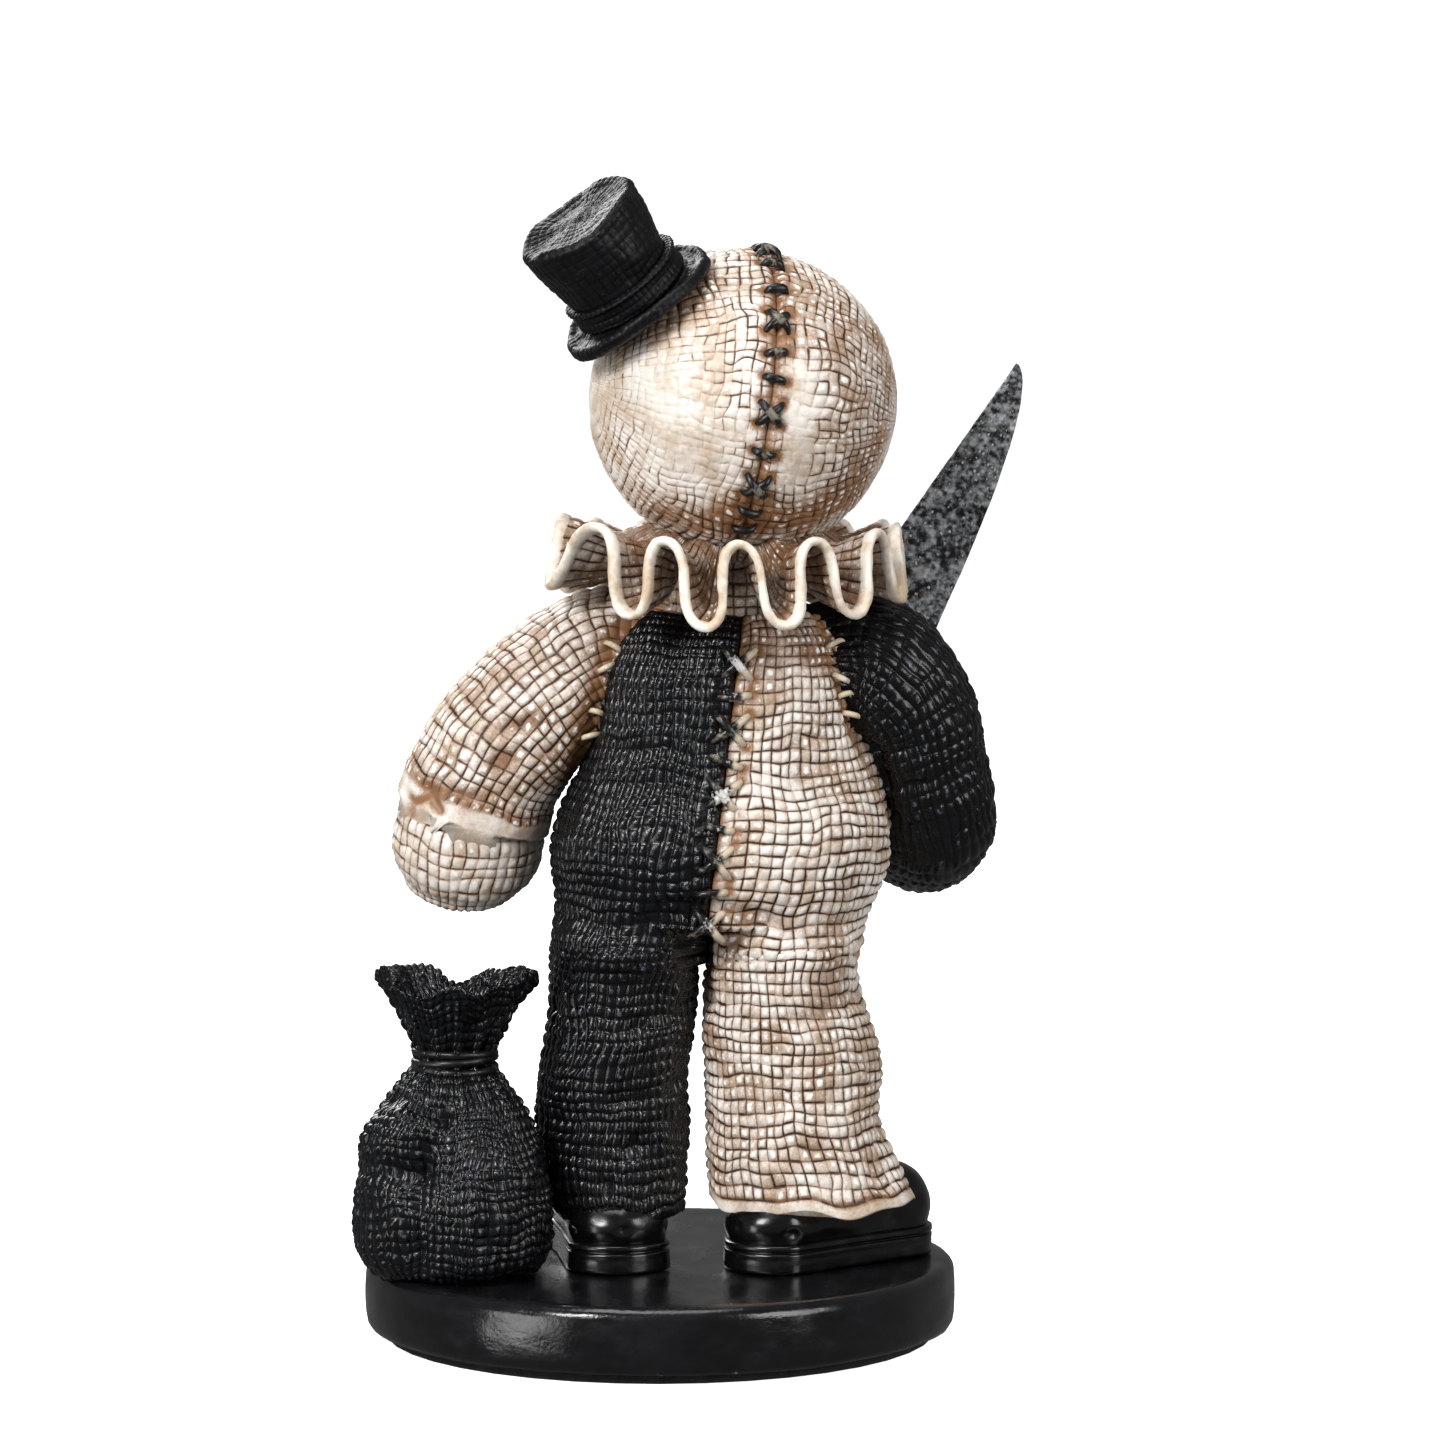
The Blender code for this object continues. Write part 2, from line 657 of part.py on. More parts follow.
def make_collar(looks):
    """The gathered ruffle: flat at the neck, waved up and down at its rim."""
    steps = COLLAR_WAVES * COLLAR_STEPS_PER_WAVE
    shares = (0.0, 0.5, 1.0)
    bm = bmesh.new()
    rows = []
    for i in range(steps):
        turn = 2 * math.pi * i / steps
        middle, wave = collar_height(turn)
        swing = math.sin(COLLAR_WAVES * turn + COLLAR_PHASE)
        out = Vector((math.cos(turn), math.sin(turn), 0.0))
        lower, upper = [], []
        for share in shares:
            radius = COLLAR_INNER + (COLLAR_OUTER - COLLAR_INNER) * share
            z = middle + wave * swing * share
            half = COLLAR_THICKNESS / 2 * (1 + COLLAR_RIM_SWELL * share)
            lower.append(bm.verts.new(COLLAR_CENTRE + out * radius + Vector((0, 0, z - half))))
            upper.append(bm.verts.new(COLLAR_CENTRE + out * radius + Vector((0, 0, z + half))))
        rows.append(lower + upper[::-1])
    for i in range(steps):
        here, there = rows[i], rows[(i + 1) % steps]
        for k in range(len(here)):
            n = (k + 1) % len(here)
            bm.faces.new((here[k], here[n], there[n], there[k]))
    return add_object("collar_ruffle", to_mesh("collar", bm), looks["collar_cloth"])


def make_neck(looks):
    """The short neck that the head and the collar sit on."""
    mesh = turned_mesh("neck", ((NECK_RADIUS, NECK_BOTTOM), (NECK_RADIUS, NECK_TOP)))
    place = Matrix.Translation(COLLAR_CENTRE)
    return add_object("neck", mesh, looks["collar_cloth"], place)


def make_head(looks):
    """Two sewn panels of the round head, parted at the seam over the crown."""
    panels = []
    for side, way in (("left", 1), ("right", -1)):
        bm = bmesh.new()
        bmesh.ops.create_uvsphere(
            bm, u_segments=HEAD_SIDES, v_segments=HEAD_ROWS, radius=HEAD_RADIUS
        )
        mesh = to_mesh("head", bm)
        normal = Vector((way, 0.0, 0.0))
        keep_side(mesh, normal * (GAP / 2), normal)
        panels.append(add_object(f"{side}_head_panel", mesh, looks["white_cloth"], head_matrix()))
    return panels


def on_head(side, rise, lift):
    """A frame on the head with +Z pointing out, lift above the surface."""
    point = head_point(side, rise, HEAD_RADIUS + lift)
    spin = point.to_track_quat("Z", "Y").to_matrix().to_4x4()
    return head_matrix() @ Matrix.Translation(point) @ spin


def make_face(looks):
    """Two four-hole button eyes, a three-sided nose patch and a stitched mouth."""
    for name, way in (("left_eye_button", 1), ("right_eye_button", -1)):
        disc = turned_mesh("button", ((EYE_RADIUS, 0.0), (EYE_RADIUS, EYE_THICKNESS)))
        frame = on_head(way * EYE_SPREAD, EYE_RISE, GAP)
        button = add_object(name, disc, looks["black_gloss"], frame)
        for i in range(EYE_HOLES):
            turn = 2 * math.pi * (i + 0.5) / EYE_HOLES
            middle = Vector((math.cos(turn), math.sin(turn), 0.0)) * EYE_RADIUS * EYE_HOLE_RING
            rise = Vector((0.0, 0.0, EYE_THICKNESS))
            hole = cylinder_between(
                f"{name}_hole_{i}", frame @ (middle - rise), frame @ (middle + 2 * rise),
                EYE_RADIUS * EYE_HOLE_SIZE, looks["steel"], SMALL_SIDES,
            )
            subtract(button, hide(hole))
    corners = [math.pi / 2 + 2 * math.pi * i / 3 for i in range(3)]
    reach = NOSE_SIDE / math.sqrt(3)
    loops = [
        [Vector((reach * math.cos(c), reach * math.sin(c), z)) for c in corners]
        for z in (0.0, NOSE_THICKNESS)
    ]
    bm = bmesh.new()
    skin_loops(bm, loops)
    add_object("nose_patch", to_mesh("nose", bm), looks["black_cloth"], on_head(0.0, NOSE_DROP, GAP))
    mouth = []
    for i in range(MOUTH_STITCHES * 2 + 1):
        across = i / MOUTH_STITCHES - 1
        sway = MOUTH_SWAY if i % 2 else -MOUTH_SWAY
        rise = MOUTH_DROP + MOUTH_CURL * across * across + sway
        point = head_point(MOUTH_SPREAD * across, rise, HEAD_RADIUS + thread_lift())
        mouth.append(head_matrix() @ point)
    thread_object("mouth_thread", mouth, looks["thread"])


def thread_lift():
    """How far a thread's middle lies over the cloth."""
    return THREAD_RADIUS + 2 * GAP


def make_head_thread(looks):
    """The lacing along the head seam, from the collar at the back over the crown to the brow."""
    lacing = []
    for i in range(HEAD_SEAM_STITCHES * 2 + 1):
        sweep = HEAD_SEAM_START + HEAD_SEAM_SWEEP * i / (HEAD_SEAM_STITCHES * 2)
        sway = HEAD_SEAM_SWAY if i % 2 else -HEAD_SEAM_SWAY
        out = math.cos(sway)
        point = Vector((math.sin(sway), math.cos(sweep) * out, math.sin(sweep) * out))
        lacing.append(head_matrix() @ (point * (HEAD_RADIUS + thread_lift())))
    thread_object("head_seam_thread", lacing, looks["thread"])


def make_torso_thread(name, way, looks):
    """The lacing along the torso seam, at the back for way 1 or the front for way -1."""
    lacing = []
    for i in range(TORSO_SEAM_STITCHES * 2 + 1):
        z = TORSO_SEAM_LOW + (TORSO_SEAM_HIGH - TORSO_SEAM_LOW) * i / (TORSO_SEAM_STITCHES * 2)
        x, y, _, half_width, half_depth = ring_at(TORSO_RINGS, z)
        seam_x = TORSO_SEAM_POINT.x / MM - (z - TORSO_SEAM_POINT.z / MM) * TORSO_SEAM_SLOPE
        sway = TORSO_SEAM_SWAY if i % 2 else -TORSO_SEAM_SWAY
        turn = math.acos((seam_x + sway - x) / half_width)
        lift = thread_lift() / MM
        lacing.append(Vector((
            x + (half_width + lift) * math.cos(turn),
            y + way * (half_depth + lift) * math.sin(turn),
            z,
        )) * MM)
    thread_object(name, lacing, looks["thread"])


def hat_matrix():
    """The hat's own frame, +Z from the brim to the top."""
    lean = Vector((
        math.sin(HAT_LEAN_SIDE) * math.cos(HAT_LEAN_BACK),
        math.sin(HAT_LEAN_BACK),
        math.cos(HAT_LEAN_SIDE) * math.cos(HAT_LEAN_BACK),
    ))
    return Matrix.Translation(HAT_FOOT) @ lean.to_track_quat("Z", "Y").to_matrix().to_4x4()


def make_hat(looks):
    """Brim, crown and band of the small top hat, its underside fitted to the head."""
    matrix = hat_matrix()
    bm = bmesh.new()
    bmesh.ops.create_uvsphere(
        bm, u_segments=HEAD_SIDES, v_segments=HEAD_ROWS, radius=HEAD_RADIUS + GAP
    )
    seat = to_mesh("seat", bm)
    ball = hide(add_object("hat_seat", seat, looks["steel"], Matrix.Translation(HEAD_CENTRE)))
    half = BRIM_THICKNESS / 2
    inner = CROWN_FOOT_RADIUS + GAP
    brim_profile = (
        (inner, -half), (BRIM_RADIUS - BRIM_EDGE, -half), (BRIM_RADIUS, 0.0),
        (BRIM_RADIUS - BRIM_EDGE, half), (inner, half),
    )
    brim_mesh = turned_mesh("brim", brim_profile, closed_ring=True)
    brim = add_object("hat_brim", brim_mesh, looks["black_cloth"], matrix)
    crown_profile = (
        (CROWN_FOOT_RADIUS, -half),
        (CROWN_FOOT_RADIUS, CROWN_HEIGHT * CROWN_WAIST_SHARE),
        (CROWN_TOP_RADIUS, CROWN_HEIGHT - CROWN_EDGE),
        (CROWN_TOP_RADIUS - CROWN_EDGE, CROWN_HEIGHT),
    )
    crown = add_object("hat_crown", turned_mesh("crown", crown_profile), looks["black_cloth"], matrix)
    for piece in (brim, crown):
        subtract(piece, ball)
    low = half + GAP
    band_profile = (
        (inner, low), (inner + BAND_THICKNESS, low),
        (inner + BAND_THICKNESS, low + BAND_HEIGHT), (inner, low + BAND_HEIGHT),
    )
    band = turned_mesh("band", band_profile, closed_ring=True)
    add_object("hat_band", band, looks["black_gloss"], matrix)
    return crown


def make_sack(looks):
    """The tied sack with its open frilled mouth, and the cord round its neck."""
    place = Matrix.Translation(SACK_FOOT)
    profile = [(radius * MM, height * MM) for radius, height in SACK_PROFILE]
    bag = add_object("sack_bag", turned_mesh("bag", profile), looks["black_cloth"], place)
    neck_radius, neck_low = SACK_PROFILE[SACK_NECK_STEP]
    neck_high = SACK_PROFILE[SACK_NECK_STEP + 1][1]
    middle = (neck_low + neck_high) / 2 * MM
    reach = neck_radius * MM + GAP + TIE_RADIUS
    turns = [2 * math.pi * i / TIE_SIDES for i in range(TIE_SIDES)]
    loop = [
        (reach + TIE_RADIUS * math.cos(turn), middle + TIE_RADIUS * math.sin(turn)) for turn in turns
    ]
    tie = turned_mesh("tie", loop, closed_ring=True)
    add_object("sack_tie", tie, looks["thread"], place)
    return bag


def make_figure():
    """Builds every piece of the scarecrow."""
    looks = make_finishes()
    _, plinth = make_plinth(looks)
    *left_shoe, left_room = make_shoe("left", LEFT_HEEL, LEFT_TOE_OUT, looks)
    *right_shoe, right_room = make_shoe("right", RIGHT_HEEL, -RIGHT_TOE_OUT, looks)
    left_leg = make_leg("left", LEFT_LEG_RINGS, left_room, looks["black_cloth"])
    right_leg = make_leg("right", RIGHT_LEG_RINGS, right_room, looks["white_cloth"])
    left_torso, right_torso = make_torso(looks)
    torso_cutter = hide(add_object(
        "torso_cutter", level_mesh("torso_cutter", TORSO_RINGS, GAP, GAP), looks["steel"]
    ))
    left_sleeve = make_sleeve("left", LEFT_SLEEVE_PATH, torso_cutter, looks["white_cloth"])
    right_sleeve = make_sleeve("right", RIGHT_SLEEVE_PATH, torso_cutter, looks["black_cloth"])
    left_hand = make_left_hand(looks)
    make_knife(looks)
    right_hand = make_right_hand(looks)
    neck = make_neck(looks)
    make_collar(looks)
    head = make_head(looks)
    make_face(looks)
    make_head_thread(looks)
    make_torso_thread("back_seam_thread", 1, looks)
    make_torso_thread("front_seam_thread", -1, looks)
    crown = make_hat(looks)
    bag = make_sack(looks)

    held = {
        "left_leg_rod": (plinth, *left_shoe, left_leg, left_torso),
        "right_leg_rod": (plinth, *right_shoe, right_leg, right_torso),
        "neck_rod": (left_torso, right_torso, neck, *head),
        "left_shoulder_peg": (left_torso, left_sleeve),
        "right_shoulder_peg": (right_torso, right_sleeve),
        "left_wrist_peg": (left_sleeve, left_hand),
        "right_wrist_peg": (right_sleeve, right_hand),
        "sack_peg": (plinth, bag),
    }
    for name, holders in held.items():
        start, end, radius = RODS[name]
        pin_through(name, Vector(start) * MM, Vector(end) * MM, radius, looks["steel"], *holders)
    reach = hat_matrix().to_3x3() @ Vector((0.0, 0.0, HAT_PEG_REACH))
    ends = (HAT_FOOT - reach, HAT_FOOT + reach)
    pin_through("hat_peg", *ends, PEG_RADIUS, looks["steel"], head[0], crown)


clear_scene()
make_figure()
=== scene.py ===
"""Cast resin scarecrow figurine: the visible surfaces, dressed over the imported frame.

Sizes are in millimetres unless a name says otherwise, and a mesh gets them in metres. The figure
faces -Y, so its left side is +X. Every soft piece is burlap cast in resin and painted: it starts
as a flat sheet counted in weave cells, which is rolled into its piece, pulled in at its creases
and carved cell by cell.
"""

import logging
import math
from dataclasses import dataclass
from enum import Enum
from typing import Callable, ClassVar, Iterable, Protocol, Sequence

import bpy
import numpy as np
from mathutils import Matrix, Vector


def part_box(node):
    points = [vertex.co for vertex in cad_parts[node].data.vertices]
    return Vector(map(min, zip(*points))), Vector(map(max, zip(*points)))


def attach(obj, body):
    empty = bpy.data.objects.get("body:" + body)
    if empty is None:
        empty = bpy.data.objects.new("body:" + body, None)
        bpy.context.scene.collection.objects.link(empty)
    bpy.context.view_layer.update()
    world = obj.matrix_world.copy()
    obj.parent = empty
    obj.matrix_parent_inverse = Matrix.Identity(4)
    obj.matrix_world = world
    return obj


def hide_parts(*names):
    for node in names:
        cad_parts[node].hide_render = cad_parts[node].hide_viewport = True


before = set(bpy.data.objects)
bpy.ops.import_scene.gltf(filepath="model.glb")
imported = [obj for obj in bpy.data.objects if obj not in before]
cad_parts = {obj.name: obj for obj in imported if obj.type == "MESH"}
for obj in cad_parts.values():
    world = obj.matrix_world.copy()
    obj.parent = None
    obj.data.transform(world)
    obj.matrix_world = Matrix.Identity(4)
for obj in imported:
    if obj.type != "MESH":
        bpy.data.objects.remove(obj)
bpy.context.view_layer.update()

MM = 0.001
TURN = 2 * math.pi
BODY = "root"
# Points closer than this, in metres, are one point. A sheet's end row narrower than a pole is one too.
SAME_POINT = 2e-6
POLE_SIZE = 0.3
DENSE_SAMPLES = 600
PAINT = "paint"

Array = np.ndarray
Point = tuple[float, float, float]
Colour = tuple[float, float, float, float]

log = logging.getLogger("scarecrow")


# ---------------------------------------------------------------- numbers and noise


def smoothstep(low: float, high: float, value: Array) -> Array:
    """Rises smoothly from 0 at low to 1 at high."""
    share = np.clip((value - low) / (high - low), 0.0, 1.0)
    return share * share * (3 - 2 * share)


def bell(value: Array, width: float) -> Array:
    """1 at zero, fading away on both sides over this width."""
    return np.exp(-((value / width) ** 2))


def hashed(i: Array, j: Array, seed: int) -> Array:
    """A fixed pick between 0 and 1 for each pair of whole numbers.

    Args:
        i: First whole number of each pair.
        j: Second whole number of each pair.
        seed: Sets one family of picks apart from another.

    Returns:
        One number from 0 to 1 for each pair.
    """
    mask = 0xFFFFFFFF
    mixed = (i.astype(np.int64) * 374761393 + j.astype(np.int64) * 668265263 + seed * 144269504) & mask
    mixed = ((mixed ^ (mixed >> 13)) * 1274126177) & mask
    mixed = ((mixed ^ (mixed >> 15)) * 668265261) & mask
    return ((mixed ^ (mixed >> 16)) & 0xFFFF) / 65535.0


def soft_noise(points: Array, size: float, seed: int) -> Array:
    """Smooth noise from -1 to 1 over points in space.

    Args:
        points: Places in millimetres, the last axis x, y, z.
        size: Width of one bump, in millimetres.
        seed: Sets one noise apart from another.

    Returns:
        One number for each point.
    """
    scaled = points / size
    cell = np.floor(scaled).astype(np.int64)
    part = scaled - cell
    part = part * part * (3 - 2 * part)
    total = np.zeros(points.shape[:-1])
    for corner in range(8):
        step = np.array([corner & 1, corner >> 1 & 1, corner >> 2 & 1])
        weight = np.prod(np.where(step == 1, part, 1 - part), axis=-1)
        at = cell + step
        total += weight * hashed(at[..., 0] + at[..., 2] * 7919, at[..., 1], seed)
    return total * 2 - 1


def between(rows: Sequence[Sequence[float]], at: Array) -> Array:
    """Reads a smooth curve through rows of numbers.

    Args:
        rows: The rows, one for each whole number from 0.
        at: Row numbers to read at, whole or not.

    Returns:
        One row for each number asked for.
    """
    table = np.array(rows, float)
    last = len(table) - 1
    low = np.clip(np.floor(at).astype(int), 0, last - 1)
    t = (at - low)[..., None]
    a, b, c, d = (table[np.clip(low + step, 0, last)] for step in (-1, 0, 1, 2))
    return 0.5 * (2 * b + (c - a) * t + (2 * a - 5 * b + 4 * c - d) * t**2 + (3 * b - a - 3 * c + d) * t**3)


class Track:
    """Rows of numbers joined by a smooth curve, read by the share of its length."""

    def __init__(self, rows: Sequence[Sequence[float]], place: Callable[[Array], Array]) -> None:
        """Measures the curve.

        Args:
            rows: The rows that the curve goes through.
            place: Gives the point on the surface that sets the pace, for rows of numbers.
        """
        self.fine = between(rows, np.linspace(0, len(rows) - 1, DENSE_SAMPLES))
        steps = np.linalg.norm(np.diff(place(self.fine), axis=0), axis=1)
        self.along = np.concatenate([[0.0], np.cumsum(steps)])
        self.length = float(self.along[-1])

    def at(self, run: Array, columns: Array | None = None) -> Array:
        """The row at each share of the length, of these columns or of the track's own."""
        table = self.fine if columns is None else columns
        return np.stack([np.interp(run * self.length, self.along, column) for column in table.T], -1)


# ---------------------------------------------------------------- forms


class Form(Protocol):
    """A surface that a sheet is laid over: its length, its girth and its points."""

    length: float
    girth: float

    def at(self, turn: Array, run: Array) -> Array:
        """The points at these shares of the turn and of the length."""


def from_back(turn: Array) -> Array:
    """The angle in the XY plane of a share of the turn, which starts at the back."""
    return TURN * (turn + 0.25)


class LevelForm:
    """Level oval rings, one above another, as on a body or a trouser leg."""

    def __init__(self, rings: Sequence[Sequence[float]]) -> None:
        """Takes rings of x, y, z, half width and half depth, from one end to the other."""
        self.track = Track(rings, lambda row: np.stack([row[:, 0] + row[:, 3], row[:, 1], row[:, 2]], -1))
        self.length = self.track.length
        self.girth = TURN * float(np.max(self.track.fine[:, 3] + self.track.fine[:, 4])) / 2

    def at(self, turn: Array, run: Array) -> Array:
        """The points at these shares of the turn, from the back, and of the length."""
        x, y, z, wide, deep = np.moveaxis(self.track.at(run), -1, 0)
        angle = from_back(turn)
        return np.stack([x + wide * np.cos(angle), y + deep * np.sin(angle), z], -1)

    def ring(self, height: float) -> Array:
        """The ring at a height: x, y, z, half width and half depth."""
        fine = self.track.fine
        return np.array([np.interp(height, fine[:, 2], column) for column in fine.T])


class PathForm:
    """A round tube along a bent path, as a sleeve or a mitten."""

    def __init__(self, path: Sequence[Sequence[float]], flat: float = 1.0) -> None:
        """Carries a pair of side directions along the path without twisting them.

        Args:
            path: Points x, y, z and the radius there.
            flat: The tube's depth as a share of its width.
        """
        self.track = Track(path, lambda row: row[:, :3] + row[:, 3:4] * np.array([0.0, 0.0, 0.35]))
        self.flat = flat
        centre = self.track.fine[:, :3]
        ahead = np.gradient(centre, axis=0)
        ahead /= np.linalg.norm(ahead, axis=1)[:, None]
        side = np.cross(ahead[0], (0.0, 1.0, 0.0))
        sides = []
        for way in ahead:
            side = side - way * side.dot(way)
            side = side / np.linalg.norm(side)
            sides.append(side)
        self.side = np.array(sides)
        self.other = np.cross(ahead, self.side)
        self.length = self.track.length
        self.girth = TURN * float(np.max(self.track.fine[:, 3]))

    def at(self, turn: Array, run: Array) -> Array:
        """The points at these shares of the turn and of the length."""
        row = self.track.at(run)
        side, other = self.track.at(run, self.side), self.track.at(run, self.other)
        angle = (TURN * turn)[..., None]
        radius = row[..., 3:4]
        return row[..., :3] + radius * (side * np.cos(angle) + other * np.sin(angle) * self.flat)


def domed(path: Sequence[Sequence[float]], blunt: float = 0.8) -> list[tuple[float, ...]]:
    """Adds a round end to a path of x, y, z and radius.

    Args:
        path: The path, whose last radius the dome starts from.
        blunt: The dome's height as a share of that radius.

    Returns:
        The longer path.
    """
    rows = [tuple(row) for row in path]
    last, before = np.array(rows[-1][:3]), np.array(rows[-2][:3])
    way = (last - before) / np.linalg.norm(last - before)
    radius = rows[-1][3]
    for degrees in (28, 52, 70, 82, 90):
        lift = math.radians(degrees)
        point = last + way * radius * blunt * math.sin(lift)
        rows.append((*point, max(radius * math.cos(lift), 0.001)))
    return rows


class TurnedForm:
    """A profile turned about an axis, with a ripple added to it."""

    def __init__(
        self,
        profile: Sequence[Sequence[float]],
        place: Matrix,
        ripple: Callable[[Array, Array, Array], tuple[Array, Array]] | None = None,
    ) -> None:
        """Takes the profile and its place.

        Args:
            profile: Points radius and height along the profile.
            place: Turns and moves the axis from +Z at the origin, in millimetres.
            ripple: From angle, radius and height, the radius and height to add.
        """
        self.track = Track(profile, lambda row: row)
        self.place = place
        self.ripple = ripple
        self.length = self.track.length
        self.girth = TURN * float(np.max(self.track.fine[:, 0]))

    def at(self, turn: Array, run: Array) -> Array:
        """The points at these shares of the turn, from the back, and of the profile."""
        radius, height = np.moveaxis(self.track.at(run), -1, 0)
        angle = from_back(turn)
        if self.ripple:
            wider, higher = self.ripple(angle, radius, height)
            radius, height = radius + wider, height + higher
        return moved(np.stack([radius * np.cos(angle), radius * np.sin(angle), height], -1), self.place)


def moved(points: Array, place: Matrix) -> Array:
    """The points after a turn and a move."""
    table = np.array(place)
    return points @ table[:3, :3].T + table[:3, 3]


# ---------------------------------------------------------------- creases


@dataclass(frozen=True)
class Stroke:
    """One pass of the modelling tool or of the wash brush over a piece.

    points is the line that it follows, in millimetres, and width its reach. depth pushes the
    surface in, or out where it is negative. stain_and_shade adds brown wash, which is painted shade as
    well where the stroke runs along a crease, a seam or a hollow, and fade softens the weave.
    """

    points: tuple[Point, ...]
    width: float
    depth: float = 0.0
    stain_and_shade: float = 0.0
    fade: float = 0.0

    def weight(self, places: Array) -> Array:
        """How strongly the stroke acts at each place, from 0 to 1."""
        line = np.array(self.points, float)
        nearest = np.linalg.norm(places - line[0], axis=-1)
        for start, end in zip(line[:-1], line[1:]):
            way = end - start
            share = np.clip((places - start) @ way / max(way @ way, 1e-9), 0.0, 1.0)
            nearest = np.minimum(nearest, np.linalg.norm(places - start - share[..., None] * way, axis=-1))
        return bell(nearest, self.width)


@dataclass(frozen=True)
class Weave:
    """How deep and how evenly a cloth is carved.

    Attributes:
        depth: Depth of a full groove.
        weft: Strength of the grooves that run round the piece.
        warp: Strength of the grooves that run along it.
        uneven: Share of each groove's strength that is left to chance, dash by dash.
        lift: How much single cells stand above the others.
        wander: How far the grooves wander, in cells.
        pillow: How round each cell's top is, as a share of the depth.
        tilt: How much single cells lean, so that they glint apart.
    """

    depth: float = 0.3
    weft: float = 1.0
    warp: float = 0.85
    uneven: float = 0.55
    lift: float = 0.14
    wander: float = 0.42
    pillow: float = 0.55
    tilt: float = 0.12


class Closing(Enum):
    """How a sheet's two long edges meet."""

    MERGED = "merged"
    BRIDGED = "bridged"
    BOTH_WAYS = "both ways"


BLACK_WEAVE = Weave(weft=0.7, warp=1.1, uneven=0.4, lift=0.26, wander=0.5, pillow=0.5, tilt=0.46)
SMOOTH = Weave(depth=0.0, weft=0.0, warp=0.0, lift=0.0, wander=0.0, tilt=0.0)
# Each cell has this many mesh lines, pulled in towards its grooves by this share of a cell.
FINENESS = 5
GROOVE_PULL = 0.0736
GROOVE_HALF_WIDTH = 0.13
# Cells narrower than this share a groove with their neighbours.
SMALLEST_CELL = 1.0


def uncarved(points: Array, u: Array, v: Array) -> tuple[float, float]:
    """The detail of a piece with no weave and no wash of its own."""
    return 0.0, 0.0


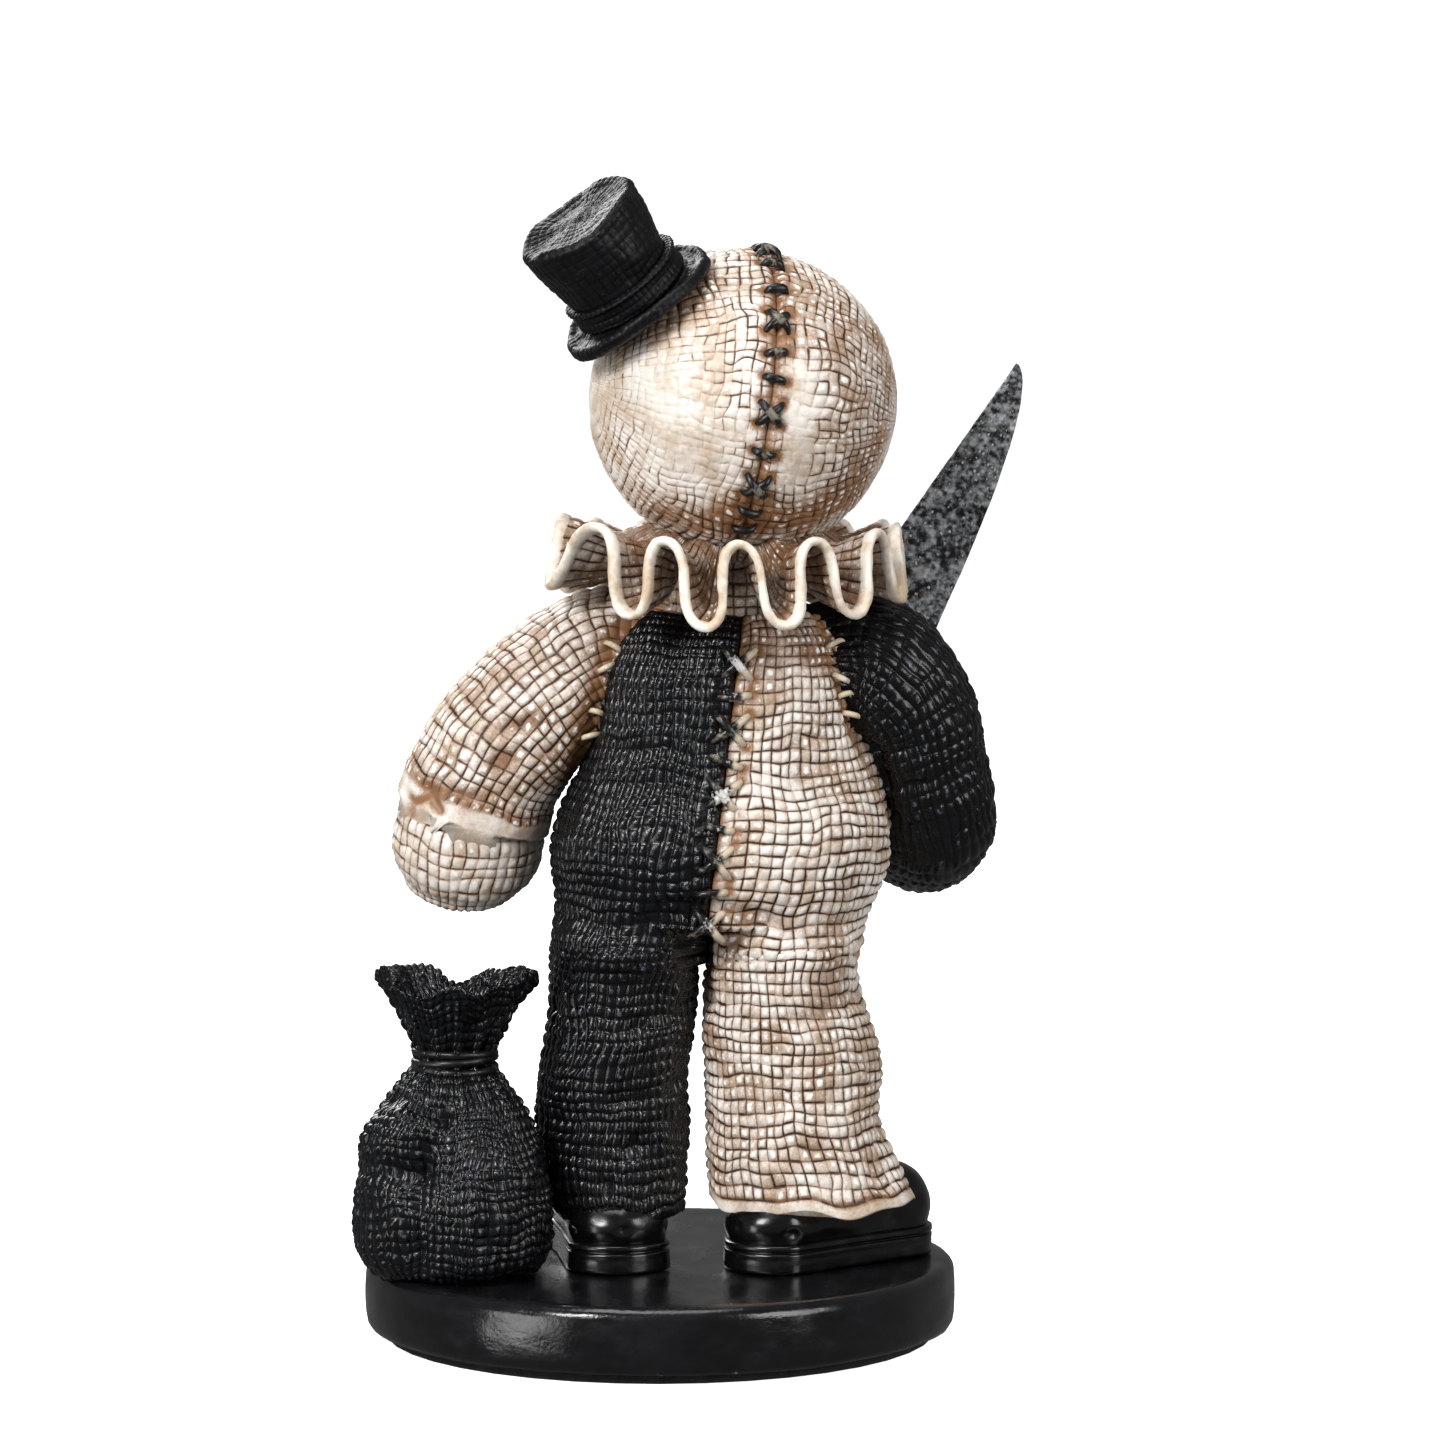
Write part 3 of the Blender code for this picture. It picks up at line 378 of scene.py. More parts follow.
@dataclass
class Sheet:
    """A sheet of burlap, counted in weave cells, that is rolled into a piece.

    Attributes:
        name: The piece's name.
        form: The surface that it is laid over.
        pitch: Width of one cell.
        weave: How it is carved.
        closing: How its long edges meet.
        strokes: Its creases, puckers and stains, some of which paint shade in creases and seams.
        lumps: Heights and widths of the uneven stuffing.
        wash_and_shade: Brown wash all over, from 0 to 1; the head also paints shade with it on one side.
        seed: Sets its chances apart from another sheet's.
        detail: From the points before carving, the strengths of weave and wash to multiply and add.
    """

    name: str
    form: Form
    pitch: float = 1.65
    weave: Weave = Weave()
    closing: Closing = Closing.MERGED
    strokes: Sequence[Stroke] = ()
    lumps: Sequence[tuple[float, float]] = ((0.35, 7.0), (0.12, 2.6))
    wash_and_shade: float = 0.12
    seed: int = 1
    detail: Callable[[Array, Array, Array], tuple[Array, Array]] | None = None

    def build(self) -> bpy.types.Object:
        """Lays out, rolls, creases and carves the sheet.

        Returns:
            The finished piece, with its carving and paint in its mesh.
        """
        across = max(4, 4 * round(self.form.girth / self.pitch / 4))
        along = max(2, round(self.form.length / self.pitch))
        column, row = np.arange(FINENESS * across + 1) / FINENESS, np.arange(FINENESS * along + 1) / FINENESS
        u, v = np.meshgrid(*(self.gathered(count) for count in (column, row)))
        points = self.laid(u, v, across, along)
        normals = self.outward(points)
        pushed, stain_and_shade, fade = self.worked(points)
        points = points - normals * pushed[..., None]
        normals = self.outward(points)
        points, paint = self.carved(points, normals, u, v, across, stain_and_shade, fade)
        return self.rolled(points, paint, u, v)

    @staticmethod
    def gathered(count: Array) -> Array:
        """Pulls the sheet's lines in towards the grooves, which lie on the whole numbers."""
        return count - GROOVE_PULL * np.sin(TURN * count)

    def laid(self, u: Array, v: Array, across: int, along: int) -> Array:
        """The sheet's points over its form, with wandering grooves.

        Args:
            u: Cells across.
            v: Cells along.
            across: Number of cells across.
            along: Number of cells along.

        Returns:
            A grid of points.
        """
        still = self.form.at(u / across, v / along)
        room = smoothstep(0.0, 2.0, v) * smoothstep(0.0, 2.0, along - v)
        if self.closing is Closing.BRIDGED:
            side_room = smoothstep(0.0, 2.0, u) * smoothstep(0.0, 2.0, across - u)
        else:
            side_room = 1.0
        sway = [
            soft_noise(still, 6.0, self.seed + 40 + k) * self.weave.wander
            + soft_noise(still, 2.3, self.seed + 60 + k) * self.weave.wander * 0.45
            for k in range(2)
        ]
        return self.form.at((u + sway[0] * room * side_room) / across, (v + sway[1] * room) / along)

    def outward(self, points: Array) -> Array:
        """Unit normals of a grid of points, facing out of the piece."""
        if self.closing is Closing.BRIDGED:
            by_u = np.gradient(points, axis=1)
        else:
            ring = points[:, :-1]
            by_u = np.roll(ring, -1, axis=1) - np.roll(ring, 1, axis=1)
            by_u = np.concatenate([by_u, by_u[:, :1]], axis=1)
        if self.closing is Closing.BOTH_WAYS:
            belt = points[:-1]
            by_v = np.roll(belt, -1, axis=0) - np.roll(belt, 1, axis=0)
            by_v = np.concatenate([by_v, by_v[:1]], axis=0)
        else:
            by_v = np.gradient(points, axis=0)
        normals = np.cross(by_u, by_v)
        size = np.linalg.norm(normals, axis=-1)[..., None]
        normals = normals / np.maximum(size, 1e-12)
        if self.closing is Closing.BOTH_WAYS:
            inside = points.mean(axis=0)[None]
        else:
            inside = points[:, :-1].mean(axis=1)[:, None]
        facing = np.sum((points - inside) * normals * size, axis=(0, 1)).sum()
        return normals if facing > 0 else -normals

    def worked(self, points: Array) -> tuple[Array, Array, Array]:
        """What the strokes and lumps do: depth, stain with its painted shade, and fade at each point."""
        pushed, stain_and_shade, fade = (np.zeros(points.shape[:-1]) for _ in range(3))
        for k, (height, size) in enumerate(self.lumps):
            pushed += soft_noise(points, size, self.seed + 7 * k) * height
        for stroke in self.strokes:
            weight = stroke.weight(points)
            pushed += stroke.depth * weight
            stain_and_shade += stroke.stain_and_shade * weight
            fade = np.maximum(fade, stroke.fade * weight)
        return pushed, stain_and_shade, fade

    def carved(
        self, points: Array, normals: Array, u: Array, v: Array, across: int, stain_and_shade: Array, fade: Array
    ) -> tuple[Array, Array]:
        """Cuts the weave into the sheet.

        Args:
            points: The creased sheet.
            normals: Its normals.
            u: Cells across.
            v: Cells along.
            across: Number of cells across.
            stain_and_shade: Brown wash from the strokes, and the painted shade that they lay in creases and
                seams.
            fade: How far the strokes soften the weave.

        Returns:
            The carved points, and the paint: groove, wash with painted shade, and crest, which is a dry
                brush with a painted highlight.
        """
        weave = self.weave
        wide = self.cell_width(points)
        share, extra = self.detail(points, u, v) if self.detail else (1.0, 0.0)
        keep = (1 - np.clip(fade, 0, 1)) * share
        line_u, line_v = np.round(u).astype(int) % across, np.round(v).astype(int)
        cell_u_whole, cell_v = np.floor(u).astype(int), np.floor(v).astype(int)
        cell_u = cell_u_whole % across
        groove_u = self.groove(u) * weave.warp * self.dashes(line_u, cell_v, 11) * self.thinned(line_u, wide)
        groove_v = self.groove(v) * weave.weft * self.dashes(cell_u, line_v, 23)
        groove_v = groove_v * smoothstep(0.15, 0.5, wide)
        groove = np.maximum(groove_u, groove_v) * keep
        cell = hashed(cell_u, cell_v, self.seed + 31)
        crown = np.abs(np.sin(math.pi * u)) * np.abs(np.sin(math.pi * v))
        lean = [hashed(cell_u, cell_v, self.seed + 71 + k) - 0.5 for k in range(2)]
        lean = lean[0] * (u - cell_u_whole - 0.5) + lean[1] * (v - cell_v - 0.5)
        height = (weave.lift * (cell - 0.5) + weave.tilt * lean) * np.sqrt(crown) * np.clip(wide, 0, 1)
        height = height + weave.pillow * weave.depth * (crown - 0.5) * keep - weave.depth * groove
        points = points + normals * height[..., None]
        # Brown wash, together with the painted shade that the strokes lay in creases and seams.
        wash_and_shade = np.clip(self.wash_and_shade + stain_and_shade + extra, 0, 1)
        # Each cell's top gets a dry brush that is also a painted highlight.
        crest_and_highlight = crown * (0.35 + 0.65 * hashed(cell_u, cell_v, self.seed + 57))
        return points, np.stack([np.clip(groove, 0, 1), wash_and_shade, crest_and_highlight * keep, np.ones_like(wash_and_shade)], -1)

    def groove(self, count: Array) -> Array:
        """1 along each whole number, and 0 away from it."""
        return bell(count - np.round(count), GROOVE_HALF_WIDTH)

    def dashes(self, i: Array, j: Array, family: int) -> Array:
        """A strength for each dash of a groove."""
        return 1 - self.weave.uneven * hashed(i, j, self.seed * 101 + family) ** 1.5

    def cell_width(self, points: Array) -> Array:
        """Width of the cells across, at each point."""
        step = np.linalg.norm(np.roll(points, -FINENESS, axis=1) - points, axis=-1)
        step[:, -FINENESS:] = step[:, -FINENESS - 1 : -FINENESS]
        return step

    @staticmethod
    def thinned(line: Array, wide: Array) -> Array:
        """Leaves out more and more grooves, half of them each time, where the sheet is gathered."""
        gone = 0.6 * SMALLEST_CELL
        kept = smoothstep(gone, SMALLEST_CELL, wide)
        for step in (2, 4, 8, 16):
            kept = np.where(line % step == 0, smoothstep(gone, SMALLEST_CELL, wide * step), kept)
        return kept

    def rolled(self, points: Array, paint: Array, u: Array, v: Array) -> bpy.types.Object:
        """Makes the mesh from a flat grid, rolls it up and closes it.

        Args:
            points: The grid of carved points.
            paint: The paint at each point.
            u: Cells across, for the cloth's own map.
            v: Cells along.

        Returns:
            The closed piece.
        """
        rows, columns = points.shape[:2]
        for end in (0, -1):
            # A row this small is a pole, and its points have to be one point to close it.
            if np.ptp(points[end], axis=0).max() < POLE_SIZE:
                points[end] = points[end].mean(axis=0)
        deselect()
        bpy.ops.mesh.primitive_grid_add(x_subdivisions=columns - 1, y_subdivisions=rows - 1, size=1)
        obj = bpy.context.object
        obj.name = obj.data.name = self.name
        mesh = obj.data
        mesh.vertices.foreach_set("co", (points * MM).ravel())
        corner = np.empty(len(mesh.loops), np.int32)
        mesh.loops.foreach_get("vertex_index", corner)
        flat = np.stack([u.ravel()[corner], v.ravel()[corner]], -1)
        mesh.uv_layers[0].name = "weave"
        mesh.uv_layers[0].data.foreach_set("uv", flat.astype(np.float32).ravel())
        mesh.attributes.new(PAINT, "FLOAT_COLOR", "POINT").data.foreach_set("color", paint.ravel())
        edge = np.zeros((rows, columns), bool)
        edge[:, 0] = edge[:, -1] = True
        if self.closing is not Closing.BRIDGED:
            edge[0] = edge[-1] = True
        select_vertices(mesh, edge.ravel())
        bpy.ops.object.mode_set(mode="EDIT")
        if self.closing is Closing.BRIDGED:
            bpy.ops.mesh.bridge_edge_loops()
        else:
            bpy.ops.mesh.remove_doubles(threshold=SAME_POINT)
        bpy.ops.mesh.select_all(action="SELECT")
        bpy.ops.mesh.fill_holes(sides=0)
        close_up(obj)
        return obj


# ---------------------------------------------------------------- modelling by operators


def deselect() -> None:
    """Leaves nothing selected, so that the next operator acts on its own piece only."""
    if bpy.context.mode != "OBJECT":
        bpy.ops.object.mode_set(mode="OBJECT")
    for obj in bpy.context.selected_objects:
        obj.select_set(False)


def pick(obj: bpy.types.Object) -> None:
    """Selects this piece alone and makes it the active one."""
    deselect()
    obj.select_set(True)
    bpy.context.view_layer.objects.active = obj


def select_vertices(mesh: bpy.types.Mesh, chosen: Array) -> None:
    """Selects these points of a mesh, and the edges and faces between them."""
    mesh.vertices.foreach_set("select", chosen)
    ends = np.empty(len(mesh.edges) * 2, np.int32)
    mesh.edges.foreach_get("vertices", ends)
    mesh.edges.foreach_set("select", chosen[ends.reshape(-1, 2)].all(axis=1))
    mesh.polygons.foreach_set("select", np.zeros(len(mesh.polygons), bool))


def close_up(obj: bpy.types.Object, smooth_degrees: float = 180.0) -> None:
    """Turns every face outwards, leaves edit mode and shades the piece smooth."""
    bpy.ops.mesh.select_all(action="SELECT")
    bpy.ops.mesh.normals_make_consistent(inside=False)
    bpy.ops.object.mode_set(mode="OBJECT")
    pick(obj)
    if smooth_degrees >= 180.0:
        bpy.ops.object.shade_smooth()
    else:
        bpy.ops.object.shade_smooth_by_angle(angle=math.radians(smooth_degrees))


def apply_place(obj: bpy.types.Object, place: Matrix | None = None) -> None:
    """Puts a piece's place into its mesh and leaves the object at the origin.

    Args:
        obj: The piece.
        place: A turn and a move in millimetres, on top of the object's own.
    """
    bpy.context.view_layer.update()
    matrix = obj.matrix_world.copy()
    if place is not None:
        scaled = place.copy()
        scaled.translation = place.translation * MM
        matrix = scaled @ matrix
    obj.data.transform(matrix)
    obj.matrix_world = Matrix.Identity(4)


def turned(
    name: str,
    profile: Sequence[tuple[float, float]],
    sides: int,
    ring: bool = False,
    smooth_degrees: float = 180.0,
) -> bpy.types.Object:
    """Turns a profile about +Z, by extruding a circle and resizing it step by step.

    Args:
        name: The piece's name.
        profile: Points radius and height, from the underside up the outside.
        sides: Number of sides.
        ring: Whether the profile's end joins its start, as on a hoop.
        smooth_degrees: Edges sharper than this stay sharp.

    Returns:
        The closed piece, at the origin.
    """
    deselect()
    radius, height = profile[0]
    bpy.ops.mesh.primitive_circle_add(vertices=sides, radius=radius * MM, location=(0, 0, height * MM))
    obj = bpy.context.object
    obj.name = obj.data.name = name
    bpy.ops.object.mode_set(mode="EDIT")
    bpy.ops.mesh.select_all(action="SELECT")
    for (radius, height), (wider, higher) in zip(profile[:-1], profile[1:]):
        rise = {"value": (0, 0, (higher - height) * MM)}
        bpy.ops.mesh.extrude_region_move(TRANSFORM_OT_translate=rise)
        grow = wider / radius
        bpy.ops.transform.resize(value=(grow, grow, 1), center_override=(0, 0, higher * MM))
    if ring:
        bpy.ops.mesh.select_all(action="DESELECT")
        bpy.ops.mesh.select_non_manifold()
        bpy.ops.mesh.bridge_edge_loops()
    else:
        bpy.ops.mesh.select_all(action="SELECT")
        bpy.ops.mesh.fill_holes(sides=0)
    close_up(obj, smooth_degrees)
    apply_place(obj)
    return obj


def points_of(obj: bpy.types.Object) -> Array:
    """A mesh's points in millimetres."""
    flat = np.empty(len(obj.data.vertices) * 3)
    obj.data.vertices.foreach_get("co", flat)
    return flat.reshape(-1, 3) / MM


def set_points(obj: bpy.types.Object, points: Array) -> None:
    """Moves a mesh's points to these, in millimetres."""
    obj.data.vertices.foreach_set("co", (points * MM).ravel())
    obj.data.update()


def roughen(obj: bpy.types.Object, bumps: Iterable[tuple[float, float]], seed: int) -> None:
    """Moves a piece's points in and out a little, as a hand-made master is uneven.

    Args:
        obj: The piece.
        bumps: Heights and widths of the unevenness.
        seed: Sets one piece's unevenness apart from another's.
    """
    flat = np.empty(len(obj.data.vertices) * 3)
    obj.data.vertices.foreach_get("normal", flat)
    normals, points = flat.reshape(-1, 3), points_of(obj)
    push = sum(soft_noise(points, size, seed + k) * height for k, (height, size) in enumerate(bumps))
    set_points(obj, points + normals * push[:, None])


def paint(obj: bpy.types.Object, groove: Array | float, wash_and_shade: Array | float, crest_and_highlight: Array | float) -> None:
    """Lays the paint on a piece: dark in its grooves, wash, and light on its crests, which is wear and, on
    some pieces, a painted highlight.
    """
    count = len(obj.data.vertices)
    layers = np.stack([np.broadcast_to(np.clip(layer, 0, 1), count) for layer in (groove, wash_and_shade, crest_and_highlight)], -1)
    table = np.concatenate([layers, np.ones((count, 1))], axis=1)
    obj.data.attributes.new(PAINT, "FLOAT_COLOR", "POINT").data.foreach_set("color", table.ravel())


def joined(name: str, pieces: Sequence[bpy.types.Object]) -> bpy.types.Object:
    """Joins several shapes into one piece."""
    pick(pieces[0])
    for piece in pieces[1:]:
        piece.select_set(True)
    if len(pieces) > 1:
        bpy.ops.object.join()
    pieces[0].name = pieces[0].data.name = name
    return pieces[0]


# ---------------------------------------------------------------- finishes


def shade(red: int, green: int, blue: int) -> Colour:
    """A paint colour, given as it looks on a colour card from 0 to 255, in linear light."""
    parts = [value / 255 for value in (red, green, blue)]
    linear = [part / 12.92 if part <= 0.04045 else ((part + 0.055) / 1.055) ** 2.4 for part in parts]
    return (*linear, 1.0)


class Board:
    """A material's node board, with one short call for each kind of node."""

    def __init__(self, name: str) -> None:
        """Makes a material with an empty board, a surface shader and its output."""
        self.material = bpy.data.materials.new(name)
        self.material.use_nodes = True
        self.tree = self.material.node_tree
        self.tree.nodes.clear()
        self.surface = self.add("ShaderNodeBsdfPrincipled")
        output = self.add("ShaderNodeOutputMaterial")
        self.tree.links.new(self.surface.outputs["BSDF"], output.inputs["Surface"])
        self.place = self.add("ShaderNodeTexCoord").outputs["Object"]

    def add(self, kind: str, **settings: object) -> bpy.types.Node:
        """Adds a node with these settings."""
        node = self.tree.nodes.new(kind)
        for setting, value in settings.items():
            setattr(node, setting, value)
        return node

    def plug(self, socket: bpy.types.NodeSocket, value: object) -> None:
        """Links a socket to another one, or sets it to a number or a colour."""
        if isinstance(value, bpy.types.NodeSocket):
            self.tree.links.new(value, socket)
        else:
            socket.default_value = value

    def math(self, operation: str, first: object, second: object = 0.0) -> bpy.types.NodeSocket:
        """One sum on two numbers."""
        node = self.add("ShaderNodeMath", operation=operation)
        self.plug(node.inputs[0], first)
        self.plug(node.inputs[1], second)
        return node.outputs[0]

    def plus(
        self, first: object, second: object, share: float = 1.0, middle: float = 0.0
    ) -> bpy.types.NodeSocket:
        """Adds to first a share of how far second lies over its middle."""
        if middle:
            second = self.math("SUBTRACT", second, middle)
        if share != 1:
            second = self.math("MULTIPLY", second, share)
        return self.math("ADD", first, second)

    def ramp(
        self, value: object, low: float, high: float, start: float = 0.0, end: float = 1.0
    ) -> bpy.types.NodeSocket:
        """Goes smoothly from start to end as value goes from low to high."""
        node = self.add("ShaderNodeMapRange", interpolation_type="SMOOTHSTEP")
        for socket, number in zip(node.inputs, (value, low, high, start, end)):
            self.plug(socket, number)
        return node.outputs[0]

    def mix(self, factor: object, first: object, second: object) -> bpy.types.NodeSocket:
        """Blends two colours."""
        node = self.add("ShaderNodeMix", data_type="RGBA")
        for socket, value in ((node.inputs[0], factor), (node.inputs[6], first), (node.inputs[7], second)):
            self.plug(socket, value)
        return node.outputs[2]

    def noise(self, size: float, detail: float = 2.0, stretch: Point = (1, 1, 1)) -> bpy.types.NodeSocket:
        """Cloudy noise over the object.

        Args:
            size: Width of one cloud in millimetres.
            detail: How many finer layers it has.
            stretch: How much more often it changes along each axis.

        Returns:
            The socket, from 0 to 1 around 0.5.
        """
        mapping = self.add("ShaderNodeMapping")
        self.plug(mapping.inputs["Vector"], self.place)
        mapping.inputs["Scale"].default_value = stretch
        node = self.add("ShaderNodeTexNoise")
        self.plug(node.inputs["Vector"], mapping.outputs[0])
        node.inputs["Scale"].default_value = 1 / (size * MM)
        node.inputs["Detail"].default_value = detail
        return node.outputs["Fac"]

    def paint(self) -> tuple[bpy.types.NodeSocket, bpy.types.NodeSocket, bpy.types.NodeSocket]:
        """The piece's own paint: groove, wash with any painted shade, and crest with any painted highlight.
        """
        source = self.add("ShaderNodeAttribute", attribute_name=PAINT)
        split = self.add("ShaderNodeSeparateColor")
        self.plug(split.inputs[0], source.outputs["Color"])
        return split.outputs[0], split.outputs[1], split.outputs[2]

    def bump(self, height: object, distance: float, strength: float = 1.0) -> None:
        """Roughens the surface by a height from 0 to 1, over distance in millimetres."""
        node = self.add("ShaderNodeBump")
        node.inputs["Strength"].default_value = strength
        node.inputs["Distance"].default_value = distance * MM
        self.plug(node.inputs["Height"], height)
        self.plug(self.surface.inputs["Normal"], node.outputs[0])

    def set(self, **sockets: object) -> None:
        """Plugs shader sockets, named with _ for a space."""
        for name, value in sockets.items():
            self.plug(self.surface.inputs[name.replace("_", " ")], value)


@dataclass(frozen=True)
class BurlapFinish:
    """Painted burlap: cells, wash with painted shade in creases, ink in the grooves, and a dry brush on the
    crests that is also a painted highlight.

    Attributes:
        name: The material's name.
        cell: Colour of a clean cell.
        warm: The same paint where it is thin.
        wash_and_shade: Colour of the wash, and of the painted shade in creases and seams.
        ink: Colour in the grooves.
        crest_and_highlight: Colour of the dry brush, which is also a painted highlight on the cells' tops.
        brush_and_highlight_share: How much of the crests the brush and its painted highlight catch, from 0
            to 1.
        roughness: Roughness of a clean cell.
        grit: Depth of the fine fibres.
        shine: Strength of the highlights.
    """

    name: str
    cell: Colour
    warm: Colour
    wash_and_shade: Colour
    ink: Colour
    crest_and_highlight: Colour
    brush_and_highlight_share: float
    roughness: float
    grit: float
    shine: float = 0.5

    def material(self) -> bpy.types.Material:
        """Builds the finish's node board."""
        board = Board(self.name)
        groove, wash_and_shade, crest_and_highlight = board.paint()
        cloud, speck, fibre = board.noise(5.0, 3.0), board.noise(0.7, 2.0), board.noise(0.28, 3.0)
        thin = board.ramp(board.plus(cloud, speck, 0.3), 0.5, 0.82)
        colour = board.mix(thin, self.cell, self.warm)
        soaked = board.plus(board.plus(wash_and_shade, cloud, 0.9, 0.5), fibre, 0.7, 0.5)
        colour = board.mix(board.ramp(soaked, 0.05, 0.95), colour, self.wash_and_shade)
        # Dry brush and painted highlight on the cells' tops, which makes grey-blue glints on the black
        # cloth.
        caught = board.plus(crest_and_highlight, speck, middle=0.5)
        brushed_and_highlit = board.ramp(caught, 1.05 - self.brush_and_highlight_share, 1.35 - self.brush_and_highlight_share)
        colour = board.mix(brushed_and_highlit, colour, self.crest_and_highlight)
        lined = board.plus(groove, speck, 0.4, 0.5)
        colour = board.mix(board.ramp(lined, 0.12, 0.62, 0.0, 0.85), colour, self.wash_and_shade)
        colour = board.mix(board.ramp(lined, 0.34, 0.74), colour, self.ink)
        rough = board.ramp(fibre, 0.3, 0.7, self.roughness - 0.07, self.roughness + 0.12)
        board.set(Base_Color=colour, Roughness=rough, Specular_IOR_Level=self.shine)
        board.bump(board.plus(fibre, speck, 0.6), self.grit)
        return board.material


@dataclass(frozen=True)
class EnamelFinish:
    """Enamel paint on resin or metal, with wear on its edges and soft streaks; on the plinth's rim and the
    threads' tops the worn colour is also a painted highlight.

    Attributes:
        name: The material's name.
        paint: Colour of the paint.
        haze: Colour of the streaks and dust.
        worn: Colour of the rubbed edges, and of the painted highlights on the plinth's rim and the threads.
        roughness: Roughness of clean paint.
        streak: Width of the streaks.
        bumps: Depth of the brush marks.
        metallic: How metallic the paint is.
    """

    name: str
    paint: Colour
    haze: Colour
    worn: Colour
    roughness: float
    streak: float = 4.0
    bumps: float = 0.05
    metallic: float = 0.0

    def material(self) -> bpy.types.Material:
        """Builds the finish's node board."""
        board = Board(self.name)
        groove, wash_and_shade, crest_and_highlight = board.paint()
        cloud, speck = board.noise(self.streak, 4.0, (1.0, 0.45, 1.6)), board.noise(0.5, 3.0)
        haze = board.plus(cloud, wash_and_shade, 0.6)
        colour = board.mix(board.ramp(haze, 0.5, 1.0), self.paint, self.haze)
        # Rubbed edges, and on some pieces painted highlights, take the worn colour.
        rubbed = board.plus(crest_and_highlight, speck, middle=0.5)
        colour = board.mix(board.ramp(rubbed, 0.55, 0.8), colour, self.worn)
        colour = board.mix(board.ramp(groove, 0.2, 0.8), colour, shade(4, 4, 5))
        rough = board.ramp(cloud, 0.3, 0.8, self.roughness - 0.05, self.roughness + 0.12)
        board.set(Base_Color=colour, Roughness=rough, Metallic=self.metallic)
        board.bump(board.plus(cloud, speck, 0.25), self.bumps)
        return board.material


@dataclass(frozen=True)
class SpongedFinish:
    """Silver sponged over black, as on the blade: brightest down the middle."""

    name: str = "sponged_silver"

    def material(self) -> bpy.types.Material:
        """Builds the finish's node board."""
        board = Board(self.name)
        dark, bare, chipped = board.paint()
        coarse, fine, speck = board.noise(2.6, 3.0), board.noise(0.75, 4.0), board.noise(0.4, 2.0)
        dab = board.plus(board.math("MULTIPLY", coarse, 0.5), fine, 0.7)
        reach = board.plus(dab, bare, 0.5)
        silver = board.ramp(board.math("SUBTRACT", reach, dark), 0.54, 0.92)
        colour = board.mix(silver, shade(16, 17, 19), shade(190, 193, 198))
        rust = board.ramp(board.noise(1.9, 2.0), 0.66, 0.74, 0.0, 0.55)
        colour = board.mix(rust, colour, shade(70, 50, 40))
        edge = board.ramp(board.plus(chipped, speck, middle=0.5), 0.6, 0.85)
        colour = board.mix(edge, colour, shade(205, 203, 196))
        rough = board.ramp(fine, 0.3, 0.7, 0.3, 0.5)
        board.set(Base_Color=colour, Roughness=rough, Metallic=0.25)
        board.bump(dab, 0.07)
        return board.material


@dataclass(frozen=True)
class PlainFinish:
    """An even finish with grain: steel, felt or thread."""

    name: str
    colour: Colour
    grain_colour: Colour
    grain: float
    roughness: float
    bumps: float
    metallic: float = 0.0

    def material(self) -> bpy.types.Material:
        """Builds the finish's node board."""
        board = Board(self.name)
        grain, cloud = board.noise(self.grain, 3.0), board.noise(self.grain * 6, 2.0)
        mixed = board.plus(board.math("MULTIPLY", grain, 0.6), cloud, 0.4)
        board.set(
            Base_Color=board.mix(board.ramp(mixed, 0.42, 0.62), self.colour, self.grain_colour),
            Roughness=board.ramp(grain, 0.3, 0.7, self.roughness - 0.06, self.roughness + 0.08),
            Metallic=self.metallic,
        )
        board.bump(grain, self.bumps)
        return board.material


INK_BROWN = shade(54, 31, 18)
# In each burlap finish the crest colour is a dry brush and also a painted highlight: pale tops on the white
# cloth, grey-blue glints on the black cloth and the hat. The wash colour paints shade in creases as well as
# the wash.
WHITE_BURLAP = BurlapFinish(
    "white_burlap", shade(237, 229, 220), shade(206, 188, 168), shade(140, 100, 66), INK_BROWN,
    shade(246, 242, 237), 0.6, 0.4, 0.05,
)
COLLAR_BURLAP = BurlapFinish(
    "collar_burlap", shade(243, 236, 225), shade(208, 184, 156), shade(120, 84, 54), INK_BROWN,
    shade(250, 245, 237), 0.5, 0.42, 0.04,
)
BLACK_BURLAP = BurlapFinish(
    "black_burlap", shade(9, 10, 13), shade(16, 17, 21), shade(6, 6, 7), shade(2, 2, 3),
    shade(84, 89, 102), 0.34, 0.24, 0.03, 0.36,
)
HAT_CLOTH = BurlapFinish(
    "hat_cloth", shade(11, 11, 13), shade(19, 19, 22), shade(8, 8, 9), shade(3, 3, 4),
    shade(48, 50, 55), 0.32, 0.42, 0.05, 0.2,
)
# The plinth's worn colour is a painted reflection along its rim, and wear at its chipped foot.
PLINTH_GLOSS = EnamelFinish(
    "plinth_gloss", shade(9, 9, 11), shade(17, 17, 20), shade(150, 146, 138), 0.2, 4.0, 0.12
)
SHOE_GLOSS = EnamelFinish(
    "shoe_gloss", shade(8, 8, 9), shade(20, 20, 22), shade(84, 82, 80), 0.2, 3.0
)
HANDLE_PAINT = EnamelFinish(
    "handle_paint", shade(30, 24, 20), shade(48, 38, 30), shade(120, 100, 80), 0.38
)
